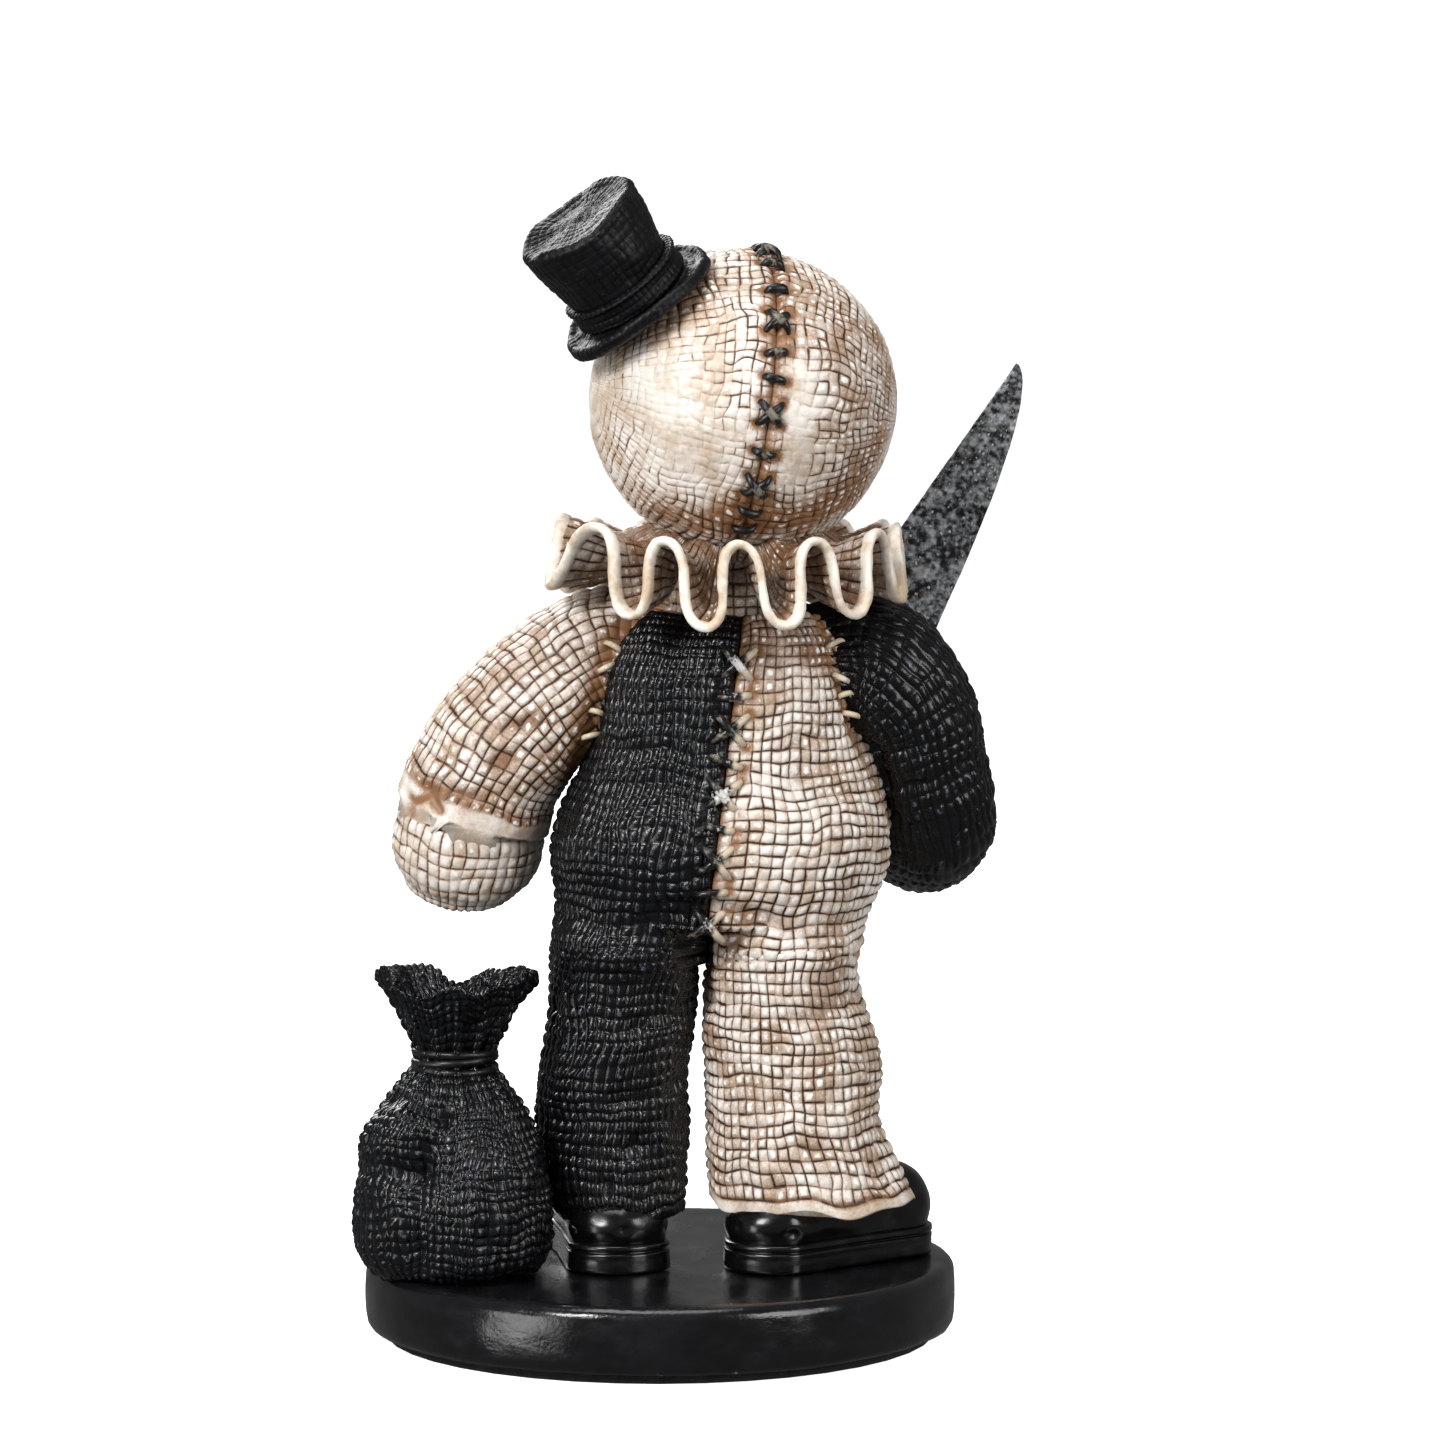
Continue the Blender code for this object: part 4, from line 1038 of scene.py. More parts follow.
# On the threads, the worn colour is a dry brush and a painted glint on the top of each arch.
SILVER_THREAD = EnamelFinish(
    "silver_thread", shade(16, 16, 17), shade(206, 190, 168), shade(214, 212, 208), 0.3, 1.4, 0.04
)
BLACK_THREAD = EnamelFinish(
    "black_thread", shade(14, 13, 13), shade(34, 30, 27), shade(120, 112, 100), 0.34, 1.4, 0.04
)
CREAM_THREAD = EnamelFinish(
    "cream_thread", shade(214, 198, 170), shade(150, 118, 80), shade(240, 230, 210), 0.5, 1.4, 0.04
)
FELT = PlainFinish("felt", shade(22, 22, 23), shade(38, 38, 40), 0.35, 0.92, 0.12)
STEEL = PlainFinish("rod_steel", shade(150, 152, 156), shade(126, 128, 132), 0.5, 0.34, 0.01, 1.0)
Finish = BurlapFinish | EnamelFinish | SpongedFinish | PlainFinish


class Workshop:
    """Keeps one material for each finish, and fixes each piece to the figurine."""

    def __init__(self) -> None:
        """Starts with no materials made."""
        self.materials: dict[str, bpy.types.Material] = {}

    def material(self, finish: Finish) -> bpy.types.Material:
        """The finish's material, made the first time that it is asked for."""
        if finish.name not in self.materials:
            self.materials[finish.name] = finish.material()
        return self.materials[finish.name]

    def dress(self, obj: bpy.types.Object, finish: Finish, *nodes: str) -> None:
        """Finishes a new piece and puts it in its CAD nodes' place.

        Args:
            obj: The piece.
            finish: Its finish, which sets its slot too.
            nodes: The CAD nodes that it stands for.
        """
        obj.data.materials.clear()
        obj.data.materials.append(self.material(finish))
        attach(obj, BODY)
        if nodes:
            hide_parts(*nodes)
        obj.data.calc_loop_triangles()
        log.info("%s: %d triangles", obj.name, len(obj.data.loop_triangles))

    def keep(self, node: str, finish: Finish) -> None:
        """Gives a CAD node that keeps its shape a better finish."""
        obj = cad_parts[node]
        obj.data.materials.clear()
        obj.data.materials.append(self.material(finish))
        log.info("%s keeps its shape", node)


# ---------------------------------------------------------------- stitches


@dataclass(frozen=True)
class Stitch:
    """One thread laid from start to end over the cloth, which faces up."""

    start: Point
    end: Point
    up: Point
    arch: float = 0.55
    radius: float = 0.42


STITCH_SIDES = 8
STITCH_STEPS = 8
STITCH_SINK = 0.75


class Stitching:
    """Sews stitches: one thread is modelled, then copied and bent for each."""

    def __init__(self) -> None:
        """Models the thread, standing 1 mm tall with its ends drawn in."""
        shares = np.linspace(0, 1, STITCH_STEPS + 1)
        profile = [(0.55 + 0.45 * math.sin(math.pi * share) ** 0.5, share) for share in shares]
        self.thread = turned("thread_master", profile, STITCH_SIDES)
        self.shape = points_of(self.thread)

    def sew(
        self, name: str, stitches: Sequence[Stitch], seed: int, pale: Callable[[Array], Array] | None = None
    ) -> bpy.types.Object:
        """Lays every stitch and joins them into one piece.

        Args:
            name: The piece's name.
            stitches: Where each goes.
            seed: Sets apart how much dry brush and painted glint each stitch gets.
            pale: How far the white cloth's paint runs over the thread, for its points.

        Returns:
            The piece.
        """
        copies = []
        for number, stitch in enumerate(stitches):
            copy = self.thread.copy()
            copy.data = self.thread.data.copy()
            bpy.context.collection.objects.link(copy)
            places = self.bent(stitch)
            set_points(copy, places)
            # The top of each thread's arch takes the worn colour: a dry brush and a painted glint.
            arch_brush_and_glint = np.sin(math.pi * self.shape[:, 2]) ** 2
            rubbed = float(hashed(np.array([number]), np.array([seed]), 5)[0])
            paint(copy, 0.0, pale(places) if pale else 0.0, arch_brush_and_glint * (0.25 + 0.75 * rubbed))
            copies.append(copy)
        return joined(name, copies)

    def bent(self, stitch: Stitch) -> Array:
        """The thread's points, bent over the cloth between the stitch's ends."""
        start, end, up = (np.array(point, float) for point in (stitch.start, stitch.end, stitch.up))
        way = end - start
        up = up - way * (up @ way) / (way @ way)
        up = up / np.linalg.norm(up)
        side = np.cross(up, way / np.linalg.norm(way))
        share = np.clip(self.shape[:, 2:3], 0, 1)
        hump = np.maximum(np.sin(math.pi * share), 0)
        lift = stitch.arch * hump**0.6 - STITCH_SINK * (2 * share - 1) ** 6
        ring = self.shape[:, 0:1] * side + self.shape[:, 1:2] * up
        return start + way * share + up * lift + ring * stitch.radius

    def put_away(self) -> None:
        """Removes the thread that the stitches were copied from."""
        bpy.data.objects.remove(self.thread)


class Knot(Enum):
    """The kinds of stitch over a seam."""

    CROSS = "cross"
    BAR = "bar"
    STAPLE = "staple"


@dataclass(frozen=True)
class SeamPlace:
    """A place on a seam: its point, the way along the seam, and the way out of the cloth."""

    point: Array
    along: Array
    out: Array

    def stitches(self, knot: Knot, reach: float, tilt: float = 0.0) -> list[Stitch]:
        """The threads of one knot over this place.

        Args:
            knot: Its kind.
            reach: Half its width across the seam.
            tilt: How far a bar slants along the seam.

        Returns:
            Its one or two stitches.
        """
        across = np.cross(self.along, self.out)
        across = across / np.linalg.norm(across)
        slant = self.along * (reach * 0.95 if knot is Knot.CROSS else reach * tilt)
        drop = -self.out * (reach * reach / 36)
        radius = 0.68 if knot is Knot.STAPLE else 0.6
        pairs = [(-across * reach - slant, across * reach + slant)]
        if knot is Knot.CROSS:
            pairs.append((-across * reach + slant, across * reach - slant))
        return [
            Stitch(
                tuple(self.point + a + drop), tuple(self.point + b + drop), tuple(self.out),
                0.32 + 0.4 * k, radius,
            )
            for k, (a, b) in enumerate(pairs)
        ]


def puckers(stitches: Sequence[Stitch], stain_and_shade: float = 1.0) -> list[Stroke]:
    """The small stained holes where stitches enter the cloth."""
    ends = [end for stitch in stitches for end in (stitch.start, stitch.end)]
    return [Stroke((end,), 0.85, 0.42, stain_and_shade, 0.7) for end in ends]


# ---------------------------------------------------------------- the body


SEAM_X, SEAM_Z, SEAM_SLOPE = -6.2, 57.0, 0.118


def seam_x(height: Array | float) -> Array | float:
    """Where the body's back and front seams are along X, at a height."""
    return SEAM_X - (height - SEAM_Z) * SEAM_SLOPE


class Side(Enum):
    """The figure's own sides, each with its way along X."""

    LEFT = 1
    RIGHT = -1


@dataclass
class Torso:
    """The body: a black left panel and a white right one, laced together at back and front."""

    rings: Sequence[Sequence[float]] = (
        (-7.7, 2.6, 51.4, 20.4, 14.2),
        (-7.7, 2.6, 54.4, 20.9, 14.5),
        (-7.9, 2.4, 60.5, 22.1, 16.4),
        (-8.2, 2.0, 66.0, 23.3, 17.8),
        (-8.7, 1.8, 71.0, 22.9, 17.6),
        (-9.2, 1.8, 76.5, 20.8, 16.4),
        (-9.2, 2.0, 83.0, 19.0, 15.3),
        (-9.2, 2.0, 90.5, 18.3, 14.7),
        (-9.6, 2.0, 96.0, 16.0, 13.2),
        (-10.0, 2.0, 99.4, 11.6, 10.2),
    )
    leg_tops: Sequence[Sequence[float]] = ((4.5, 3.0, 10.4, 13.2), (-16.9, 3.0, 10.8, 13.2))
    legs_show_from: float = 62.5
    legs_show_fully: float = 54.4
    tuck: float = 0.05
    crotch_share: float = 0.95
    crotch_from: float = 57.4
    seam_sinks_from: float = 60.8
    channel: tuple[float, float] = (55.0, 99.0)
    back_knots: int = 9
    knot_top: float = 93.0
    knot_step: float = 4.35
    knot_reach: float = 2.35

    def __post_init__(self) -> None:
        """Measures the rings."""
        self.form = LevelForm(self.rings)

    def seam(self, height: float, back: bool) -> SeamPlace:
        """The place on the back or front seam at a height."""
        x, y, _, wide, deep = self.form.ring(height)
        turn = math.acos((seam_x(height) - x) / wide)
        way = 1 if back else -1
        full = float(smoothstep(self.seam_sinks_from, self.legs_show_from, np.array(height)))
        sunk = self.crotch_share + (1 - self.crotch_share) * full
        wide, deep = wide * sunk, deep * sunk
        point = np.array([x + wide * math.cos(turn), y + way * deep * math.sin(turn), height])
        out = np.array([math.cos(turn) / wide, way * math.sin(turn) / deep, 0.0])
        return SeamPlace(point, np.array([-SEAM_SLOPE, 0.0, 1.0]), out / np.linalg.norm(out))

    def knots(self, back: bool) -> list[Stitch]:
        """The crosses and bars down one seam, from the top."""
        stitches = []
        for k in range(self.back_knots):
            height = self.knot_top - k * self.knot_step
            knot = Knot.BAR if k % 2 else Knot.CROSS
            tilt = (-0.25, 0.2, -0.1)[k % 3]
            stitches += self.seam(height, back).stitches(knot, self.knot_reach, tilt)
        return stitches

    def strokes(self) -> list[Stroke]:
        """The seam channels, shared by both panels."""
        found = []
        for back in (True, False):
            line = tuple(tuple(self.seam(height, back).point) for height in np.linspace(*self.channel, 16))
            # The stain along each channel is brown wash, and painted shade in the sunk seam.
            found.append(Stroke(line, 0.85, 0.9, 0.6, 0.3))
        return found

    def on_white(self, points: Array) -> Array:
        """1 over the white panel and 0 over the black one, at each point."""
        return smoothstep(-0.5, -1.5, points[:, 0] - seam_x(points[:, 2]))

    def inside(self, points: Array) -> Array:
        """Under 0 inside the body, over 0 outside it, at each point."""
        fine = self.form.track.fine
        x, y, _, wide, deep = (np.interp(points[..., 2], fine[:, 2], column) for column in fine.T)
        return ((points[..., 0] - x) / wide) ** 2 + ((points[..., 1] - y) / deep) ** 2 - 1


class PanelForm:
    """One panel of the body, from the back seam round its side to the front seam."""

    def __init__(self, torso: Torso, side: Side) -> None:
        """Takes the body's rings and the panel's side."""
        self.torso, self.side = torso, side
        self.length = torso.form.length
        self.girth = torso.form.girth * (0.5 if side is Side.RIGHT else 0.56)

    def at(self, turn: Array, run: Array) -> Array:
        """The points at these shares of the way round the panel and up it."""
        x, y, z, wide, deep = np.moveaxis(self.torso.form.track.at(run), -1, 0)
        seam = np.arccos(np.clip((seam_x(z) - x) / wide, -1, 1))
        if self.side is Side.LEFT:
            angle = seam * (1 - 2 * turn)
        else:
            angle = seam + (TURN - 2 * seam) * turn
        across, back = wide * np.cos(angle), deep * np.sin(angle)
        torso = self.torso
        show = 1 - smoothstep(torso.legs_show_fully, torso.legs_show_from, z)
        scale = 1 + (self.legs(x, y, across, back) - 1) * show
        closed = smoothstep(torso.legs_show_fully, torso.crotch_from, z)
        scale = np.maximum(scale, torso.crotch_share * closed)
        scale = scale * (1 - torso.tuck * smoothstep(torso.legs_show_fully, torso.rings[0][2], z))
        return np.stack([x + across * scale, y + back * scale, z], -1)

    def legs(self, x: Array, y: Array, across: Array, back: Array) -> Array:
        """The outline of both legs as a share of the body's outline, seen from its middle."""
        reach = np.hypot(across, back)
        way_x, way_y = across / reach, back / reach
        best = np.full_like(reach, 3.0)
        for leg_x, leg_y, wide, deep in self.torso.leg_tops:
            a = (way_x / wide) ** 2 + (way_y / deep) ** 2
            b = 2 * ((x - leg_x) * way_x / wide**2 + (y - leg_y) * way_y / deep**2)
            c = ((x - leg_x) / wide) ** 2 + ((y - leg_y) / deep) ** 2 - 1
            root = np.maximum(b * b - 4 * a * c, 0)
            far = np.where(root > 0, (-b + np.sqrt(root)) / (2 * a), 0)
            best = np.maximum(best, far)
        return best / reach


# ---------------------------------------------------------------- the head


@dataclass
class Head:
    """The round head: two burlap panels laced over the crown, with a plain stitched face."""

    centre: Point = (-11.3, 2.0, 127.3)
    radius: float = 20.7
    yaw_degrees: float = 9.8
    roll_degrees: float = 7.6

    def __post_init__(self) -> None:
        """Works out the head's own frame: -Y is the face, +Z the crown."""
        yaw = Matrix.Rotation(math.radians(self.yaw_degrees), 4, "Z")
        roll = Matrix.Rotation(-math.radians(self.roll_degrees), 4, "Y")
        self.place = Matrix.Translation(self.centre) @ yaw @ roll
        self.turn = np.array((yaw @ roll).to_3x3())

    def seam(self, sweep_degrees: float) -> SeamPlace:
        """The place on the seam at an angle from the back, over the crown, to the face."""
        sweep = math.radians(sweep_degrees)
        out = self.turn @ np.array([0.0, math.cos(sweep), math.sin(sweep)])
        along = self.turn @ np.array([0.0, -math.sin(sweep), math.cos(sweep)])
        return SeamPlace(np.array(self.centre) + out * self.radius, along, out)

    def pole(self, side: Side) -> Point:
        """The middle of one side panel, over the ear."""
        return tuple(np.array(self.centre) + self.turn @ np.array([side.value * self.radius, 0.0, 0.0]))

    def spot(self, side_degrees: float, rise_degrees: float, lift: float = 0.0) -> Matrix:
        """A frame on the face whose +Z points out of it.

        Args:
            side_degrees: Angle from the face's middle towards the head's left.
            rise_degrees: Angle above the head's middle.
            lift: Height over the cloth.

        Returns:
            The frame, in millimetres.
        """
        side, rise = math.radians(side_degrees), math.radians(rise_degrees)
        way = Vector((math.sin(side) * math.cos(rise), -math.cos(side) * math.cos(rise), math.sin(rise)))
        spin = way.to_track_quat("Z", "Y").to_matrix().to_4x4()
        return self.place @ Matrix.Translation(way * (self.radius + lift)) @ spin


class HeadForm:
    """Half the head, from the pole at its side to the seam."""

    def __init__(self, head: Head, side: Side) -> None:
        """Takes the head's size and the panel's side."""
        self.head, self.side = head, side
        self.length = head.radius * math.pi / 2
        self.girth = TURN * head.radius

    def at(self, turn: Array, run: Array) -> Array:
        """The points at these shares of the turn about the pole, and of the way to the seam."""
        polar = np.maximum(run, 0) * math.pi / 2
        angle = TURN * turn
        ring = np.sin(polar)
        way = np.stack([self.side.value * np.cos(polar), ring * np.cos(angle), ring * np.sin(angle)], -1)
        return moved(way * self.head.radius, self.head.place)


# ---------------------------------------------------------------- the collar


@dataclass
class CollarForm:
    """The gathered ruffle: flat at the neck and waved at its thick rim.

    The sheet runs from the neck over the top to the rim and back underneath.
    """

    centre: tuple[float, float] = (-10.0, 2.0)
    inner: float = 9.6
    outer: float = 24.0
    half_thickness: float = 0.48
    rim_swell: float = 0.3
    rim_from: float = 0.94
    neck_rise: float = 4.2
    middle_height: float = 104.0
    side_lift: float = 1.9
    wave_back: float = 5.8
    wave_side: float = 4.9
    lean: float = 0.035
    left_turn: float = 0.3
    left_lift: float = 1.8
    left_reach: float = 1.9
    wave_power: float = 0.85
    high_draw: float = 1.3
    waves: int = 13
    back_low_degrees: tuple[float, ...] = (10.0, 54.0, 80.5, 107.0, 133.5, 164.0)
    back_high_degrees: tuple[float, ...] = (-6.0, 39.0, 65.0, 91.0, 118.5, 150.0)

    def __post_init__(self) -> None:
        """Paces the sheet along the rim, so that its walls get as many cells as its folds."""
        lows = [(degrees, 2 * k + 1) for k, degrees in enumerate(self.back_low_degrees)]
        highs = [(degrees, 2 * k) for k, degrees in enumerate(self.back_high_degrees)]
        first, last = self.back_high_degrees[0], self.back_low_degrees[-1]
        knots = sorted(lows + highs)
        rest = 2 * self.waves - (len(knots) - 1)
        step = (360 - (last - first)) / rest
        knots += [(last + step * k, knots[-1][1] + k) for k in range(1, rest + 1)]
        table = np.array(knots, float)
        self.knot_turn, self.knot_phase = np.radians(table[:, 0]), table[:, 1] * math.pi
        angles = np.linspace(0, TURN, 4000)
        rim = self.middle(angles, np.ones_like(angles))
        self.angles = angles
        self.along = np.concatenate([[0], np.cumsum(np.linalg.norm(np.diff(rim, axis=0), axis=1))])
        self.girth = float(self.along[-1])
        self.length = 2 * (self.outer - self.inner)

    def phase(self, angle: Array) -> Array:
        """The wave's phase at an angle round the neck: whole turns of pi at highs and lows."""
        wrapped = (angle - self.knot_turn[0]) % TURN + self.knot_turn[0]
        return np.interp(wrapped, self.knot_turn, self.knot_phase)

    def middle(self, angle: Array, share: Array) -> Array:
        """The ruffle's middle surface.

        Args:
            angle: Angle round the neck.
            share: 0 at the neck and 1 at the rim.

        Returns:
            The points.
        """
        phase = self.phase(angle)
        to_side = np.cos(angle) ** 2
        wave = self.wave_back + (self.wave_side - self.wave_back) * to_side
        wave = wave * np.maximum(share, 0) ** self.wave_power
        swing = angle + self.lean * share * np.sin(2 * phase)
        drawn = self.high_draw * share * (0.5 + 0.5 * np.cos(phase))
        radius = self.inner + (self.outer - self.inner) * share - drawn
        height = self.middle_height + self.side_lift * to_side + wave * np.cos(phase)
        height = height + self.neck_rise * (1 - smoothstep(0.0, 0.55, share))
        to_left = np.clip(np.cos(angle - self.left_turn), 0, 1) ** 6 * share
        radius, height = radius + self.left_reach * to_left, height + self.left_lift * to_left
        x, y = self.centre
        return np.stack([x + radius * np.cos(swing), y + radius * np.sin(swing), height], -1)

    def at(self, turn: Array, run: Array) -> Array:
        """The points at these shares of the rim's length and of the way over and back under."""
        angle = np.interp((turn % 1.0) * self.girth, self.along, self.angles)
        run = run % 1.0
        share = np.clip(1 - np.abs(1 - 2 * run), 0.0, 1.0)
        side = np.where(run < 0.5, 1.0, -1.0)
        small = 1e-3  # how far apart the points are that give the surface's slopes
        here = self.middle(angle, share)
        by_angle = self.middle(angle + small, share) - self.middle(angle - small, share)
        by_share = self.middle(angle, share + small) - self.middle(angle, share - small)
        up = np.cross(by_share, by_angle)
        up = up / np.linalg.norm(up, axis=-1)[..., None]
        swell = 1 + self.rim_swell * smoothstep(self.rim_from - 0.12, self.rim_from + 0.02, share)
        close = np.sqrt(np.clip(1 - ((share - self.rim_from) / (1 - self.rim_from)) ** 2, 0, 1))
        close = np.where(share > self.rim_from, close, 1.0)
        end = smoothstep(0.0, 0.03, share)
        thick = self.half_thickness * swell * close * end
        return here + up * (side * thick)[..., None]


# ---------------------------------------------------------------- the makers


@dataclass
class Plinth:
    """The round cast base with its felt."""

    edge: float = 1.7
    sides: int = 200
    rings_on_top: int = 22
    steps_up_side: int = 7
    steps_over_edge: int = 5
    foot_height: float = 0.9
    swell: float = 0.15

    def build(self, shop: Workshop) -> None:
        """Turns the base, makes it a little uneven and paints its edges: a painted reflection with a little
        wear along the top, and chips at the foot.
        """
        low, high = (np.array(corner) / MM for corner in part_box("plinth"))
        radius, top, foot = (high[0] - low[0]) / 2, high[2], low[2]
        waist = foot + self.foot_height
        profile = [(radius - 1.4, foot), (radius - 0.5, foot + 0.25), (radius - 0.1, waist)]
        side = top - self.edge - waist
        for k in range(1, self.steps_up_side):
            share = k / self.steps_up_side
            profile.append((radius + self.swell * math.sin(math.pi * share), waist + side * share))
        for k in range(self.steps_over_edge + 1):
            turn = math.pi / 2 * k / self.steps_over_edge
            out, up = self.edge * math.cos(turn), self.edge * math.sin(turn)
            profile.append((radius - self.edge + out, top - self.edge + up))
        flat = radius - self.edge
        profile += [(flat * (1 - k / self.rings_on_top), top) for k in range(1, self.rings_on_top)]
        profile.append((0.2, top))
        base = turned("plinth_cast", profile, self.sides)
        roughen(base, ((0.14, 9.0), (0.06, 2.4)), 3)
        places = points_of(base)
        out = np.hypot(places[:, 0], places[:, 1])
        # Along the rounded top edge the worn colour is a painted reflection of the lights, with a little
        # wear; the chips at the foot are wear.
        rim = bell(out - radius + 0.45, 0.42) * bell(places[:, 2] - top + 0.5, 0.5)
        chip = smoothstep(0.35, 0.8, soft_noise(places, 1.6, 8)) * bell(places[:, 2] - foot - 0.4, 0.5)
        patch = 0.5 + 0.5 * soft_noise(places, 7.0, 12)
        paint(base, 0.0, patch, np.maximum(rim * (0.1 + 0.5 * patch), chip * 0.95))
        shop.dress(base, PLINTH_GLOSS, "plinth")
        shop.keep("felt_pad", FELT)


@dataclass
class Shoe:
    """One shoe: sole with its welt, and a creased upper."""

    side: Side
    heel: tuple[float, float]
    toe_out_degrees: float
    length: float = 33.0
    half_width: float = 7.8
    heel_share: float = 0.98
    waist: float = 0.1
    sole_low: float = 10.45
    sole_high: float = 14.4
    instep: float = 20.6
    toe_top: float = 22.8

    def __post_init__(self) -> None:
        """Works out where the shoe stands."""
        turn = Matrix.Rotation(math.pi + math.radians(self.toe_out_degrees), 4, "Z")
        self.place = Matrix.Translation((*self.heel, 0.0)) @ turn
        self.girth = 2 * self.length + 3 * self.half_width
        self.reach = self.length - 2 * self.half_width

    def outline(self, turn: Array, inset: Array) -> tuple[Array, Array]:
        """The footprint, drawn in by inset, from the outer side round the heel and the toe."""
        heel, toe = self.half_width * self.heel_share - inset, self.half_width - inset
        ahead = np.sin(TURN * turn)
        blend = smoothstep(-0.25, 0.25, ahead)
        x = (heel + (toe - heel) * blend) * np.cos(TURN * turn)
        x = x * (1 - self.waist * bell(ahead, 0.3))
        y = self.reach * smoothstep(-0.35, 0.35, ahead) + np.where(ahead <= 0, heel, toe) * ahead
        return x, y

    def build(self, shop: Workshop) -> None:
        """Builds the sole and the upper."""
        name = self.side.name.lower()
        low, high = self.sole_low, self.sole_high
        sole = ShoeForm(self, (
            (7.6, low), (3, low), (0.5, low + 0.05), (0, low + 0.5), (0.05, 12.6), (0, 13.2),
            (0.5, 13.45), (0, 13.75), (0.15, high), (1.6, high + 0.1), (4.5, high), (7.6, high),
        ), False)
        upper = ShoeForm(self, (
            (7.6, 0), (3, 0), (0.9, 0), (0.55, 0.1), (0.2, 0.3), (0.35, 0.5), (1, 0.7),
            (2.1, 0.86), (3.6, 0.96), (5.4, 1), (7.6, 1.02),
        ), True)
        bend = [
            Stroke(tuple(self.on_foot(x, y, z) for x, y, z in line), 0.7, 0.5)
            for line in (
                ((-7.5, 11.5, 15.5), (-4, 13.5, 19.5), (4, 13.2, 19.5), (7.5, 11.5, 15.5)),
                ((-7.4, 14.5, 15.5), (-4, 16, 20.5), (4, 16, 20.5), (7.4, 14.5, 15.5)),
                ((-6.8, -3, 16), (0, -7.2, 16.6), (6.8, -3, 16)),
            )
        ]
        for node, form, strokes, lumps, seed in (
            (f"{name}_shoe_sole", sole, (), ((0.1, 3.6),), 5),
            (f"{name}_shoe_upper", upper, bend, ((0.22, 4.0), (0.06, 1.4)), 6),
        ):
            made = Sheet(
                f"{node}_cast", form, 2.0, SMOOTH, strokes=strokes, lumps=lumps, seed=seed, detail=uncarved
            )
            shop.dress(made.build(), SHOE_GLOSS, node)

    def on_foot(self, x: float, y: float, z: float) -> Point:
        """A place given along the foot, in the figurine's frame."""
        return tuple(self.place @ Vector((x, y, z)))


class ShoeForm:
    """A shoe's sole or upper, from the middle of its underside over its side to its top."""

    def __init__(self, shoe: Shoe, steps: Sequence[tuple[float, float]], upper: bool) -> None:
        """Takes the steps up the side.

        Args:
            shoe: The shoe.
            steps: How far the outline draws in, and the height, or on the upper its share.
            upper: Whether the top rises over the toes.
        """
        self.shoe, self.upper = shoe, upper
        self.track = Track(steps, lambda row: row * np.array([1.0, 6.0 if upper else 1.0]))
        self.length = shoe.length + 1.0
        self.girth = shoe.girth

    def at(self, turn: Array, run: Array) -> Array:
        """The points at these shares of the outline and of the way up."""
        inset, height = np.moveaxis(self.track.at(run), -1, 0)
        x, y = self.shoe.outline(turn, np.zeros_like(inset))
        shrink = 1 - np.clip(inset / self.shoe.half_width, 0, 0.999)
        middle = np.clip(y, 0, self.shoe.reach)
        x, y = x * shrink, middle + (y - middle) * shrink
        if self.upper:
            rise = smoothstep(0.0, self.shoe.length * 0.4, y)
            foot = self.shoe.sole_high - 0.1
            top = self.shoe.instep + (self.shoe.toe_top - self.shoe.instep) * rise
            height = foot + (top - foot) * height
        return moved(np.stack([x, y, height], -1), self.shoe.place)


PANEL_CLOTHS = {Side.LEFT: (BLACK_BURLAP, BLACK_WEAVE), Side.RIGHT: (WHITE_BURLAP, Weave())}


